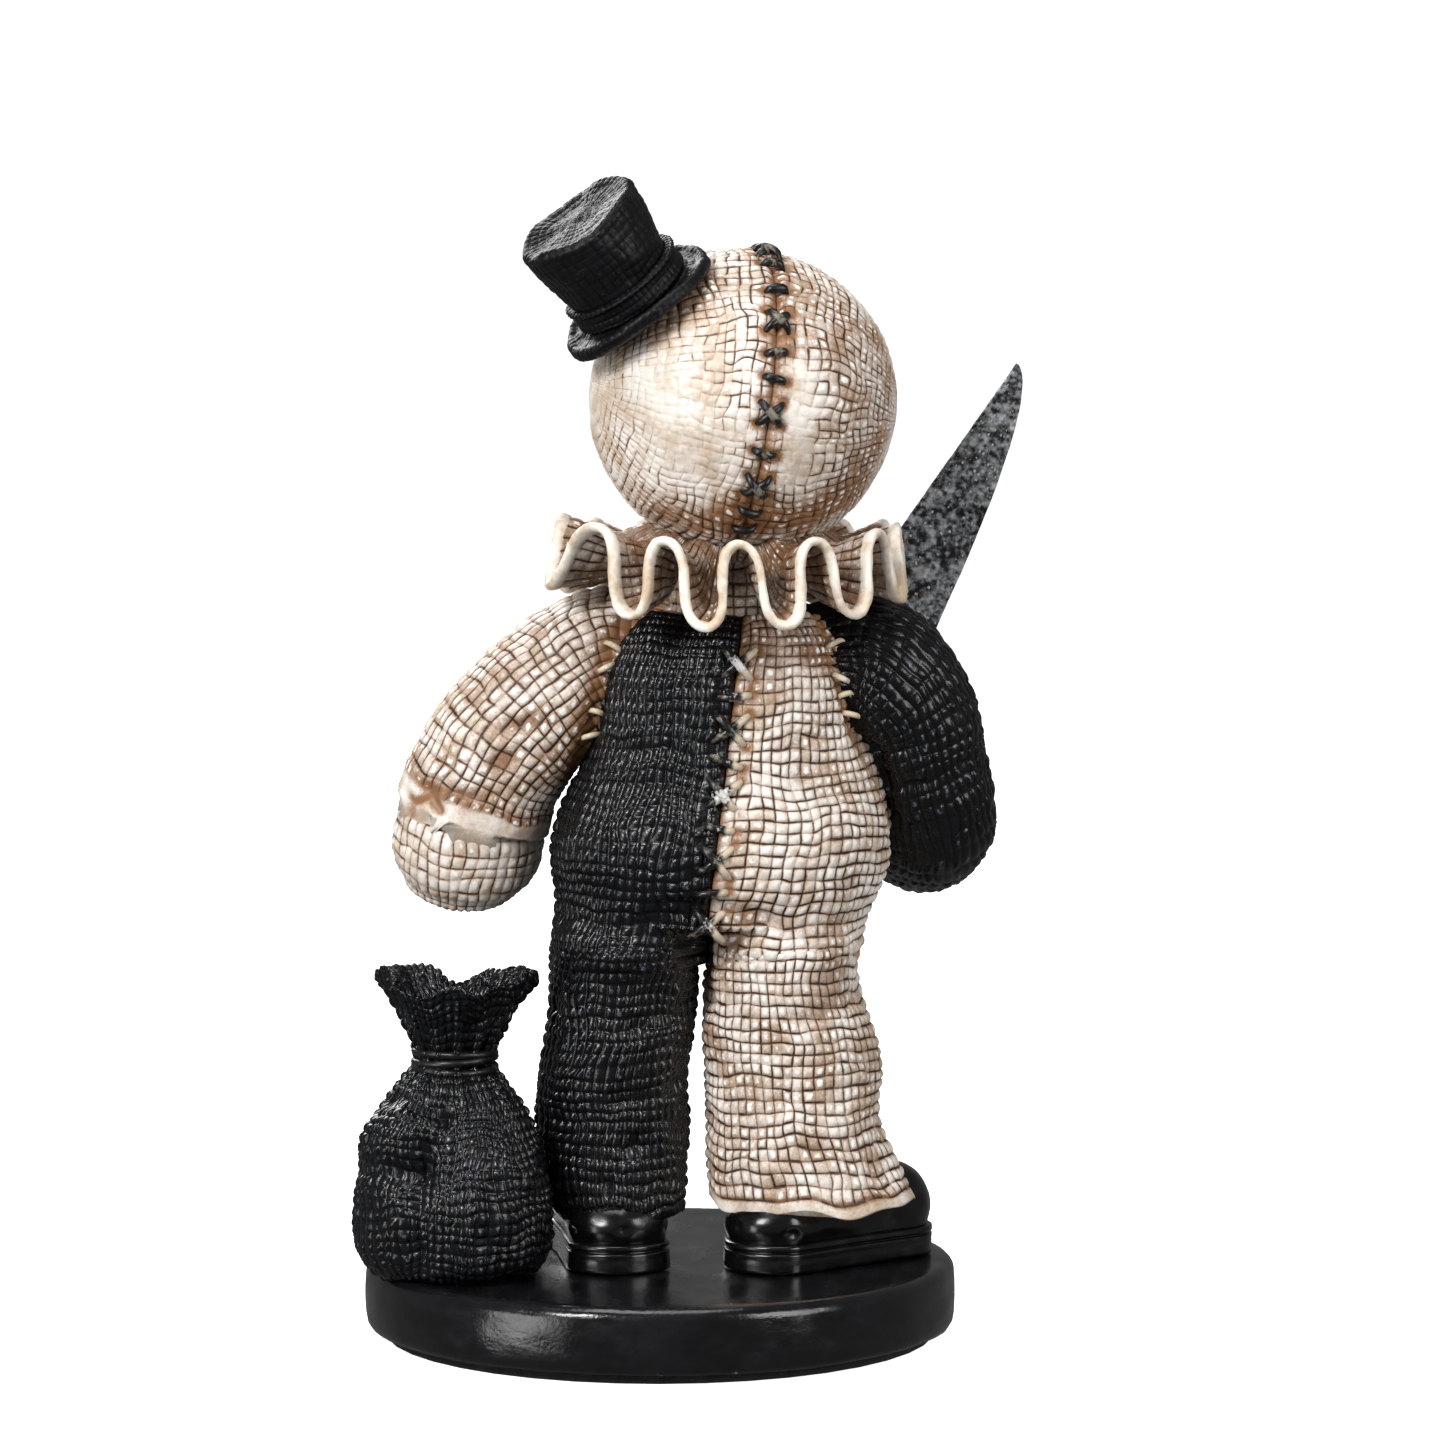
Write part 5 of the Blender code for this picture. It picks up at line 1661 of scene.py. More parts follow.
@dataclass
class Suit:
    """The two-tone burlap suit: body, trouser legs, sleeves and mittens."""

    torso: Torso
    left_leg: Sequence[Sequence[float]] = (
        (5.8, 5.4, 18.2, 9, 9.6), (6.2, 5.2, 21.4, 9.8, 10.2), (6.4, 4.6, 28, 10.3, 10.6),
        (6.2, 4.4, 36, 10.3, 10.8), (5.2, 3.8, 44, 10.1, 11.4), (4.6, 3.2, 50, 10.3, 12.4),
        (4.5, 3, 54, 10.4, 13.2), (3.8, 3, 57, 8.4, 10.8), (2.8, 3, 60, 6, 8),
    )
    right_leg: Sequence[Sequence[float]] = (
        (-20.6, 4.6, 19.4, 14, 12.2), (-19.7, 4.8, 23, 13.2, 11.8), (-18.3, 4.6, 30, 12, 11.4),
        (-18.1, 4.2, 38, 11.9, 11.2), (-17.1, 3.8, 45, 11.1, 11.8), (-16.5, 3.2, 50, 10.5, 12.6),
        (-16.9, 3, 54, 10.8, 13.2), (-16.6, 3, 57, 8.8, 10.8), (-16, 3, 60, 6.4, 8),
    )
    left_sleeve: Sequence[Sequence[float]] = (
        (-4, -0.6, 92, 7), (2, -2.2, 92.8, 9.2), (8.6, -2.4, 91.4, 10.4), (14.8, -1.8, 87, 10.6),
        (20.2, -1.6, 81.8, 10.4), (23.6, -2.2, 76.6, 10.4), (25.3, -3, 71.7, 10.8), (25.4, -3.1, 71.2, 10.2),
        (25.4, -3.1, 71.2, 8.6),
    )
    left_hand: Sequence[Sequence[float]] = (
        (25.3, -2.9, 72.4, 8.2), (25.6, -3.2, 70.6, 9.5), (26, -3.6, 68.6, 10.2), (26.5, -4.6, 65.2, 10.1),
        (26.8, -5.6, 63.0, 8.6),
    )
    thumb: Sequence[Sequence[float]] = (
        (22, -7, 67.4, 2.6), (22, -10, 66.2, 3.2), (22.2, -13.4, 65, 3.4), (23, -16, 62.9, 2.7),
    )
    right_sleeve: Sequence[Sequence[float]] = (
        (-15, 1.6, 90, 6.4), (-21, 1, 92, 8.8), (-27.4, 0.2, 90.8, 10.6), (-32.4, -1, 85.6, 10.4),
        (-35, -2.6, 77.8, 9.6), (-36.8, -5, 71, 9.2), (-36.4, -10, 68, 8.9), (-33.2, -15.8, 69.2, 8.3),
        (-29, -20.2, 73.2, 7.9), (-26.7, -21.7, 76.1, 7.8), (-26.6, -21.8, 76.3, 6.6),
    )
    right_hand: Sequence[Sequence[float]] = (
        (-27, -21.5, 75.7, 5), (-26.2, -22.1, 76.7, 6.2), (-24.4, -23.3, 79, 7.2), (-21.4, -24.4, 82.4, 7.5),
        (-18.6, -25, 85.4, 6.2), (-17.4, -25.2, 86.6, 4.4),
    )
    pitch: float = 1.62

    def build(self, shop: Workshop, sewing: Stitching) -> None:
        """Builds every cloth piece of the suit and its stitches."""
        back, front = self.torso.knots(True), self.torso.knots(False)
        channel = self.torso.strokes()
        armholes = {side: self.armhole(side) for side in Side}
        thorns = self.thorns(armholes)
        self.build_torso(shop, channel + puckers(back) + puckers(front), armholes)
        self.build_legs(shop)
        self.build_sleeves(shop, armholes)
        self.build_hands(shop)
        for seed, (name, knots) in enumerate((("back_seam", back), ("front_seam", front)), 2):
            laced = sewing.sew(f"{name}_stitches", knots, seed, self.torso.on_white)
            shop.dress(laced, SILVER_THREAD, f"{name}_thread")
        shop.dress(sewing.sew("armhole_stitches", thorns, 4), CREAM_THREAD)

    def armhole(self, side: Side) -> list[Point]:
        """The closed line where a sleeve comes out of the body."""
        form = PathForm(self.left_sleeve if side is Side.LEFT else self.right_sleeve)
        turns = np.linspace(0, 1, 28)
        run = np.linspace(0, 0.6, 240)
        turn, run = np.meshgrid(turns, run)
        points = form.at(turn, run)
        hidden = self.torso.inside(points) < 0
        line = []
        for k in range(len(turns)):
            rows = np.flatnonzero(hidden[:, k])
            line.append(tuple(points[rows[-1] if len(rows) else 0, k]))
        return line

    def thorns(self, armholes: dict[Side, list[Point]]) -> list[Stitch]:
        """A few short pointed stitches at the back of both armholes, at these heights."""
        found = []
        for side, heights in ((Side.LEFT, (93.2, 92.2, 87.0, 82.0)), (Side.RIGHT, (95.4, 90.2, 89.2, 81.5))):
            ring = np.array(armholes[side])
            ring = ring[ring[:, 1] > ring[:, 1].mean() + 1.0]
            for k, height in enumerate(heights):
                here = ring[np.argmin(np.abs(ring[:, 2] - height))]
                out = np.array([-0.25 * side.value, 1.0, 0.25])
                across = np.array([side.value * 1.0, -0.15, (0.55, -0.5, 0.3, -0.25)[k]])
                reach = (1.5, 1.3, 1.2, 1.5)[k]
                start, end = here - across * reach, here + across * reach
                found.append(Stitch(tuple(start), tuple(end), tuple(out), 0.85, 0.4))
        return found

    def build_torso(self, shop: Workshop, seams: list[Stroke], armholes: dict[Side, list[Point]]) -> None:
        """Builds the black and the white panel."""
        # The stains along the white panel's folds and under the crotch are painted shade in the creases,
        # with brown wash.
        folds = [
            Stroke(((-29.5, 10, 82), (-25, 14, 79.5), (-19, 17, 78.6)), 1.5, 0.9, 0.45),
            Stroke(((-30.5, 8, 77), (-27, 13, 75.6), (-22, 17, 76.4)), 1.3, 0.7, 0.4),
            Stroke(((-26, 12, 86), (-22, 14, 83), (-18, 16, 82.2)), 1.2, 0.5, 0.3),
            Stroke(((-30, 8, 58.5), (-22, 16, 57.2), (-12, 17, 59)), 1.5, 0.7, 0.4),
            Stroke(((14, 8, 58.5), (4, 17, 57.2), (-4, 17.5, 59.5)), 1.5, 0.7),
            Stroke(((-7.2, 16, 57.4), (-9.4, 14.5, 55.2), (-8, 13, 53)), 2, 0.3, 0.75),
            Stroke(((12.5, 8, 78), (6, 15, 76.5), (0, 17.5, 77.5)), 1.4, 0.7),
            Stroke(((11.5, 9, 83), (5, 14, 81), (-1, 16.5, 81.6)), 1.3, 0.55),
        ]
        collar_shadow = Stroke(((-27.0, 10.0, 95.5), (-10.0, 16.0, 95.5), (7.0, 10.0, 95.5)), 5.5, 0.0, 0.6)
        for side, (finish, weave) in PANEL_CLOTHS.items():
            # The stain along the armhole crease is brown wash and painted shade.
            crease = Stroke(tuple(armholes[side]), 1.3, 0.8, 0.7, 0.3)
            name = f"{side.name.lower()}_torso_panel"
            sheet = Sheet(
                f"{name}_cloth", PanelForm(self.torso, side), self.pitch, weave,
                Closing.BRIDGED, seams + folds + [crease, collar_shadow], wash_and_shade=0.15, seed=11 + side.value,
            )
            shop.dress(sheet.build(), finish, name)

    def build_legs(self, shop: Workshop) -> None:
        """Builds both trouser legs with their plain hems."""
        for side, (finish, weave) in PANEL_CLOTHS.items():
            rings = self.left_leg if side is Side.LEFT else self.right_leg
            form = HemmedForm(rings, side)
            x, y, z, wide, deep = rings[4]
            knee = ((x - wide, y + 4, z + 3), (x - 2, y + deep, z), (x + wide, y + 3, z + 2))
            # The stains in the folds and under the crotch are brown wash and painted shade in the creases.
            folds = [
                Stroke(knee, 1.5, 0.7, 0.25),
                Stroke(((x - wide, y + 5, 36), (x + 1, y + deep, 34)), 1.4, 0.6, 0.25),
                Stroke(((x + wide, y + 4, 30.5), (x - 3, y + deep, 27.5)), 1.5, 0.7, 0.25),
                Stroke(((x + wide, y + 2, 24), (x + 2, y + deep, 22.4)), 1.3, 0.5, 0.2),
                Stroke(((-6, -6, 53), (-6.2, 4, 51), (-6, 13, 54.5)), 2.2, 0.4, 0.75),
                Stroke(((-5.8, 10, 46), (-5.8, 12, 30)), 1.8, 0.2, 0.35),
            ]
            name = f"{side.name.lower()}_trouser_leg"
            sheet = Sheet(
                f"{name}_cloth", form, self.pitch, weave, strokes=folds,
                lumps=((0.55, 6.0), (0.14, 2.4)), wash_and_shade=0.32, seed=21 + side.value, detail=form.hem,
            )
            shop.dress(sheet.build(), finish, name)

    def build_sleeves(self, shop: Workshop, armholes: dict[Side, list[Point]]) -> None:
        """Builds both sleeves, with a turned hem on the left one."""
        torn_edge = ((35.6, 1.5, 75.2), (33.4, 4.4, 73.4), (31.4, 6, 74.4), (29.6, 6.6, 72.4))
        # The stains along the creases are brown wash and painted shade in them.
        creases = {
            Side.LEFT: [
                Stroke(((8.5, 11, 86), (11.5, 9.5, 80), (13, 8, 76)), 1.5, 1.4, 0.9),
                Stroke(((9.5, 10, 82.5), (15, 10, 84.5), (20, 9, 84)), 1.3, 1.2, 0.5),
                Stroke(((10.5, 9.5, 79), (17, 10, 80.5), (22, 8.6, 79)), 1.3, 1.1, 0.45),
                Stroke(((9, 11.5, 88.5), (14, 10.6, 91)), 1.1, 0.6, 0.35),
                Stroke(((16, 8, 75), (24, 9, 74.4), (34, 4, 75.6)), 0.7, 0.55, 0.5, 0.3),
                Stroke(torn_edge, 0.75, 0.7, 1),
            ],
            Side.RIGHT: [
                Stroke(((-27.5, 6, 82), (-30, 6.5, 77.5), (-30.5, 3, 72)), 1.5, 1),
                Stroke(((-28.5, 6.5, 80), (-33, 7.5, 81), (-39, 5, 84)), 1.2, 0.7),
                Stroke(((-29.5, 5.5, 75.5), (-35, 7, 75.5), (-41, 4, 78.5)), 1.2, 0.6),
                Stroke(((-30, 3.5, 70.5), (-36, 5, 69), (-43, 0, 71)), 1.2, 0.6),
            ],
        }
        for side, path, finish, weave, hem in (
            (Side.LEFT, self.left_sleeve, WHITE_BURLAP, Weave(weft=0.8, warp=1.0), cuff_band),
            (Side.RIGHT, self.right_sleeve, BLACK_BURLAP, BLACK_WEAVE, None),
        ):
            name = f"{side.name.lower()}_sleeve"
            # The armhole seam's stain is brown wash and painted shade where the sleeve meets the body.
            seam = Stroke(tuple(armholes[side]), 2.1, 0.8, 0.9, 0.3)
            sheet = Sheet(
                f"{name}_cloth", PathForm(path), self.pitch, weave, strokes=creases[side] + [seam],
                lumps=((0.4, 7.0), (0.14, 2.6)), wash_and_shade=0.36, seed=31 + side.value, detail=hem,
            )
            shop.dress(sheet.build(), finish, name)

    def build_hands(self, shop: Workshop) -> None:
        """Builds the open left mitten and the right fist."""
        mitten = Sheet(
            "left_mitten", PathForm(domed(self.left_hand, 0.5)), 1.6,
            Weave(depth=0.24, weft=0.7, warp=0.7), wash_and_shade=0.0, seed=41,
        )
        thumb = Sheet(
            "left_thumb", PathForm(domed(self.thumb)), 1.5, Weave(depth=0.22),
            lumps=((0.15, 3.0),), wash_and_shade=0.0, seed=43,
        )
        hand = joined("left_hand_cloth", [mitten.build(), thumb.build()])
        shop.dress(hand, WHITE_BURLAP, "left_hand")
        knuckles = [
            Stroke(((x, -31.5, z), (x + 3, -31, z - 4), (x + 5, -27, z - 7.5)), 0.9, 0.9)
            for x, z in ((-25.5, 87.0), (-22.8, 89.4), (-28.0, 84.4))
        ]
        fist = Sheet(
            "right_hand_cloth", PathForm(domed(self.right_hand)), 1.6, Weave(depth=0.26),
            strokes=knuckles, seed=47,
        )
        shop.dress(fist.build(), BLACK_BURLAP, "right_hand")


class HemmedForm(LevelForm):
    """A trouser leg whose lowest rows are a plain, wavy hem."""

    def __init__(self, rings: Sequence[Sequence[float]], side: Side) -> None:
        """Takes the leg's rings from the hem up, and its side."""
        super().__init__(rings)
        self.side = side
        self.floor = rings[0][2]
        self.toe_lift = 2.2 if side is Side.RIGHT else 0.8

    def at(self, turn: Array, run: Array) -> Array:
        """The points of the leg, its hem lifted over the shoe and waved."""
        points = super().at(turn, run)
        near = 1 - smoothstep(0.0, 7.0, points[..., 2] - self.floor)
        angle = from_back(turn)
        ahead = 0.5 - 0.5 * np.sin(angle)
        wave = 0.45 * np.sin(5 * angle + 1.0) + 0.3 * np.sin(9 * angle)
        lift = near * (wave + self.toe_lift * ahead**2 - 0.7)
        return points + np.stack([np.zeros_like(lift), np.zeros_like(lift), lift], -1)

    def hem(self, points: Array, u: Array, v: Array) -> tuple[Array, Array]:
        """Leaves the hem's band plain and stains the line above it."""
        plain = 1 - smoothstep(0.75, 1.0, v)
        line = bell(v - 1.05, 0.25)
        return 1 - 0.9 * plain, 0.5 * line - 0.1 * plain


def cuff_band(points: Array, u: Array, v: Array) -> tuple[Array, Array]:
    """Leaves the turned hem at a sleeve's end plain and clean, with a stain along its edge."""
    rows = np.max(v) - v
    plain = 1 - smoothstep(1.9, 2.4, rows)
    return 1 - 0.92 * plain, -0.2 * plain + 0.45 * bell(rows - 2.5, 0.35)


@dataclass
class Ruff:
    """The ruffle round the neck, and the neck itself."""

    form: CollarForm
    neck_radius: float = 8.6
    neck_foot: float = 98.4
    neck_top: float = 108.6

    def build(self, shop: Workshop) -> None:
        """Builds the neck and the ruffle."""
        x, y = self.form.centre
        heights = np.linspace(self.neck_foot, self.neck_top, 5)
        rings = [(x, y, height, self.neck_radius, self.neck_radius) for height in heights]
        neck = Sheet("neck_cloth", LevelForm(rings), 1.7, Weave(), wash_and_shade=0.55, seed=51)
        shop.dress(neck.build(), COLLAR_BURLAP, "neck")
        ruffle = Sheet(
            "collar_ruffle_cloth", self.form, 1.85, Weave(depth=0.2, weft=0.55, warp=1.0, wander=0.3),
            Closing.BOTH_WAYS, lumps=((0.12, 3.0),), wash_and_shade=0.3, seed=53, detail=self.rim,
        )
        shop.dress(ruffle.build(), COLLAR_BURLAP, "collar_ruffle")

    def rim(self, points: Array, u: Array, v: Array) -> tuple[Array, Array]:
        """Leaves the rolled rim smooth and clean, and the walls stained."""
        share = 1 - np.abs(1 - 2 * v / np.max(v))
        clean = smoothstep(0.86, 0.91, share)
        return 1 - 0.95 * clean, 0.5 * (1 - clean) * (1 - 0.35 * share) - 0.28 * clean


HEAD_KNOTS: tuple[tuple[float, Knot], ...] = (
    (-53, Knot.BAR), (-43, Knot.BAR), (-31, Knot.CROSS), (-17, Knot.BAR), (-2, Knot.CROSS), (11, Knot.BAR),
    (21, Knot.BAR), (34, Knot.CROSS), (49, Knot.STAPLE), (66, Knot.STAPLE), (80, Knot.CROSS), (94, Knot.BAR),
    (106, Knot.CROSS), (118, Knot.BAR), (130, Knot.CROSS), (141, Knot.BAR),
)


@dataclass
class Face:
    """A plain scarecrow face: two buttons, a nose patch and a stitched mouth."""

    head: Head
    eye_radius: float = 3.7
    eye_thickness: float = 1.4
    eye_side_degrees: float = 24.0
    eye_rise_degrees: float = 9.0
    nose_side: float = 5.4
    nose_rise_degrees: float = -8.0
    mouth_side_degrees: float = 30.0
    mouth_rise_degrees: float = -35.0
    mouth_curl_degrees: float = 13.0
    mouth_stitches: int = 7

    def build(self, shop: Workshop, sewing: Stitching) -> None:
        """Builds the buttons, the nose and the mouth."""
        for name, way in (("left_eye_button", 1), ("right_eye_button", -1)):
            button = self.button(f"{name}_cast")
            apply_place(button, self.head.spot(way * self.eye_side_degrees, self.eye_rise_degrees, 0.1))
            paint(button, 0.0, 0.2, 0.0)
            shop.dress(button, SHOE_GLOSS, name)
        shop.dress(self.nose(), BLACK_BURLAP, "nose_patch")
        shop.dress(sewing.sew("mouth_stitches", self.mouth(), 6), BLACK_THREAD, "mouth_thread")

    def button(self, name: str) -> bpy.types.Object:
        """A four-hole button with a raised rim, its holes cut through."""
        r, t = self.eye_radius, self.eye_thickness
        profile = [
            (r * 0.86, -0.5), (r * 0.97, 0.1), (r, t * 0.5), (r * 0.97, t * 0.86), (r * 0.9, t),
            (r * 0.8, t * 0.96), (r * 0.72, t * 0.72), (r * 0.64, t * 0.62), (0.1, t * 0.6),
        ]
        button = turned(name, profile, 48, smooth_degrees=50.0)
        for k in range(4):
            turn = TURN * (k + 0.5) / 4
            deselect()
            middle = Vector((math.cos(turn), math.sin(turn), 0.3)) * r * 0.32
            bpy.ops.mesh.primitive_cylinder_add(
                vertices=20, radius=r * 0.14 * MM, depth=3 * t * MM, location=middle * MM
            )
            cutter = bpy.context.object
            pick(button)
            cut = button.modifiers.new("hole", "BOOLEAN")
            cut.object, cut.operation = cutter, "DIFFERENCE"
            bpy.ops.object.modifier_apply(modifier=cut.name)
            bpy.data.objects.remove(cutter)
        return button

    def nose(self) -> bpy.types.Object:
        """A padded three-cornered patch."""
        deselect()
        reach = self.nose_side / math.sqrt(3)
        bpy.ops.mesh.primitive_circle_add(vertices=3, radius=reach * MM, fill_type="NGON")
        nose = bpy.context.object
        nose.name = nose.data.name = "nose_patch_cloth"
        bpy.ops.object.mode_set(mode="EDIT")
        bpy.ops.mesh.select_all(action="SELECT")
        bpy.ops.mesh.extrude_region_move(TRANSFORM_OT_translate={"value": (0, 0, 0.7 * MM)})
        bpy.ops.mesh.inset(thickness=0.7 * MM)
        bpy.ops.transform.translate(value=(0, 0, 0.6 * MM))
        bpy.ops.mesh.select_all(action="SELECT")
        bpy.ops.mesh.bevel(offset=0.25 * MM, segments=2, affect="EDGES")
        bpy.ops.mesh.subdivide(number_cuts=6)
        close_up(nose)
        apply_place(nose, self.head.spot(0.0, self.nose_rise_degrees, -0.2))
        roughen(nose, ((0.12, 0.9),), 9)
        paint(nose, 0.0, 0.2, 0.3)
        return nose

    def mouth(self) -> list[Stitch]:
        """A long curved line of stitches, crossed by short ones."""
        found, line = [], []
        steps = self.mouth_stitches * 2
        for k in range(steps + 1):
            across = 2 * k / steps - 1
            rise = self.mouth_rise_degrees + self.mouth_curl_degrees * across * across
            line.append(self.head.spot(self.mouth_side_degrees * across, rise, 0.15))
        for before, after in zip(line[:-1], line[1:]):
            up = before.to_3x3() @ Vector((0, 0, 1))
            found.append(Stitch(tuple(before.translation), tuple(after.translation), tuple(up), 0.25, 0.36))
        for place in line[1::2]:
            up, reach = (place.to_3x3() @ Vector(way) for way in ((0, 0, 1), (0, 1.7, 0)))
            start, end = place.translation - reach, place.translation + reach
            found.append(Stitch(tuple(start), tuple(end), tuple(up), 0.5, 0.4))
        return found


@dataclass
class HeadMaker:
    """Builds the head's panels, their lacing and the face."""

    head: Head
    knot_reach: float = 1.75
    # The right half's heavier wash is also painted shade, on the side turned away from the key light.
    wash_and_shade: ClassVar[dict[Side, float]] = {Side.LEFT: 0.12, Side.RIGHT: 0.26}

    def build(self, shop: Workshop, sewing: Stitching) -> None:
        """Builds the two panels, the lacing and the face."""
        knots = []
        for k, (sweep, knot) in enumerate(HEAD_KNOTS):
            knots += self.head.seam(sweep).stitches(knot, self.knot_reach, (0.2, -0.15)[k % 2])
        line = tuple(tuple(self.head.seam(sweep).point) for sweep in range(-75, 160, 6))
        # The stains along the seam are brown wash, with painted shade in its sunk channel.
        strokes = [Stroke(line, 0.8, 0.85, 0.6, 0.3), Stroke(line, 2.4, 0.0, 0.2), *puckers(knots)]
        x, y, z = self.head.centre
        # Painted shade, with brown wash: low on the back of the head above the collar, under the hat's brim,
        # and down the right side.
        strokes += [
            Stroke(((x - 16, y + 10, z - 15), (x, y + 15, z - 16), (x + 16, y + 10, z - 15)), 4.5, 0, 0.6),
            Stroke(((x + 5, y + 12, z + 16), (x + 13, y + 12, z + 10), (x + 18, y + 6, z + 7)), 5, 0, 0.5),
            Stroke(((x - 12, y + 12, z + 12), (x - 18, y + 8, z + 2), (x - 15, y + 11, z - 9)), 7, 0, 0.3),
        ]
        quiet = {
            # Painted highlight where the key light falls on the left half: paler, cleaner cloth with fainter
            # grooves.
            Side.LEFT: [
                Stroke(((x + 11, y + 17, z + 2), (x + 8, y + 19, z - 5)), 8, 0, -0.35, 0.7),
                Stroke(((x + 17, y + 8, z + 1), (x + 18, y + 2, z - 4)), 5, 0, -0.2, 0.55),
            ],
            Side.RIGHT: [Stroke(((x - 6.5, y + 19, z + 4), (x - 7, y + 18, z - 9)), 2.8, 0.0, -0.3, 0.75)],
        }
        for side in Side:
            name = f"{side.name.lower()}_head_panel"
            sheet = Sheet(
                f"{name}_cloth", HeadForm(self.head, side), 1.5,
                Weave(depth=0.22, weft=0.9, warp=0.9, uneven=0.75, wander=0.75),
                strokes=strokes + quiet[side] + [Stroke((self.head.pole(side),), 5.0, 0.0, 0.1, 0.9)],
                lumps=((0.25, 9.0), (0.1, 3.0)), wash_and_shade=self.wash_and_shade[side], seed=61 + side.value,
            )
            shop.dress(sheet.build(), WHITE_BURLAP, name)
        laced = sewing.sew("head_seam_stitches", knots, 5)
        shop.dress(laced, BLACK_THREAD, "head_seam_thread")
        Face(self.head).build(shop, sewing)


@dataclass
class Hat:
    """The small top hat set on the side of the head."""

    foot: Point = (3.0, 9.7, 141.2)
    lean_side_degrees: float = 36.0
    lean_back_degrees: float = 18.0
    brim_radius: float = 11.3
    brim_half: float = 0.95
    foot_radius: float = 7.5
    top_radius: float = 8.9
    height: float = 14.4
    band_height: float = 3.4
    band_thickness: float = 0.9

    def __post_init__(self) -> None:
        """Works out the hat's own frame."""
        side, back = math.radians(self.lean_side_degrees), math.radians(self.lean_back_degrees)
        lean = Vector((math.sin(side) * math.cos(back), math.sin(back), math.cos(side) * math.cos(back)))
        self.place = Matrix.Translation(self.foot) @ lean.to_track_quat("Z", "Y").to_matrix().to_4x4()

    def build(self, shop: Workshop) -> None:
        """Builds the crown, the brim and the band."""
        top, foot = self.top_radius, self.foot_radius
        crown_profile = (
            (0.01, self.height - 0.15), (3, self.height - 0.3), (6.2, self.height - 0.15),
            (top - 0.8, self.height + 0.1), (top - 0.1, self.height - 0.45), (top, self.height - 1.3),
            (foot + 0.9, 9.0), (foot + 0.25, 5.6), (foot, 3.6), (foot, -0.8), (foot - 2.5, -0.8),
            (0.01, -0.8),
        )
        crown = Sheet(
            "hat_crown_cloth", TurnedForm(crown_profile, self.place, self.dented), 1.25,
            Weave(depth=0.1, weft=0.8, warp=0.9, uneven=0.7, lift=0.06),
            lumps=((0.28, 3.2), (0.1, 1.3)), seed=71,
        )
        shop.dress(crown.build(), HAT_CLOTH, "hat_crown")
        half, wide = self.brim_half, self.brim_radius
        brim_profile = (
            (foot + 0.2, half), (8.6, half * 0.7), (9.8, half * 0.75), (wide - 0.7, half * 1.1),
            (wide - 0.15, half * 0.7), (wide, 0.0), (wide - 0.2, -half * 0.7), (wide - 0.9, -half),
            (9.6, -half), (foot + 0.2, -half), (foot + 0.1, 0), (foot + 0.2, half),
        )
        brim = Sheet(
            "hat_brim_cloth", TurnedForm(brim_profile, self.place, self.curled), 1.1,
            Weave(depth=0.07, uneven=0.8, lift=0.06), Closing.BOTH_WAYS,
            lumps=((0.16, 2.2), (0.08, 0.9)), seed=73,
        )
        shop.dress(brim.build(), HAT_CLOTH, "hat_brim")
        low, high, out = half + 0.1, half + self.band_height, foot + self.band_thickness
        band_profile = (
            (foot - 0.3, low), (out - 0.3, low - 0.1), (out, low + 0.35), (out - 0.1, low + 1.2),
            (out - 0.1, high - 0.9), (out + 0.2, high - 0.55), (out + 0.25, high - 0.2),
            (out - 0.1, high + 0.1), (foot - 0.3, high), (foot - 0.4, low + 1.5), (foot - 0.3, low),
        )
        band = Sheet(
            "hat_band_cloth", TurnedForm(band_profile, self.place), 0.95, Weave(depth=0.12, lift=0.05),
            Closing.BOTH_WAYS, lumps=((0.1, 1.6),), seed=75,
        )
        shop.dress(band.build(), HAT_CLOTH, "hat_band")

    def dented(self, angle: Array, radius: Array, height: Array) -> tuple[Array, Array]:
        """A crown that isn't quite round, with a lumpy top edge."""
        share = np.clip(height / self.height, 0, 1)
        wider = 0.22 * share * np.cos(3 * angle + 0.6) * (radius > 1)
        higher = 0.25 * smoothstep(0.8, 1.0, share) * np.sin(4 * angle) * (radius / self.top_radius)
        return wider, higher

    def curled(self, angle: Array, radius: Array, height: Array) -> tuple[Array, Array]:
        """A brim whose two sides turn up."""
        share = smoothstep(self.foot_radius, self.brim_radius, radius)
        return np.zeros_like(radius), 0.75 * share * np.cos(2 * (angle + math.radians(20)))


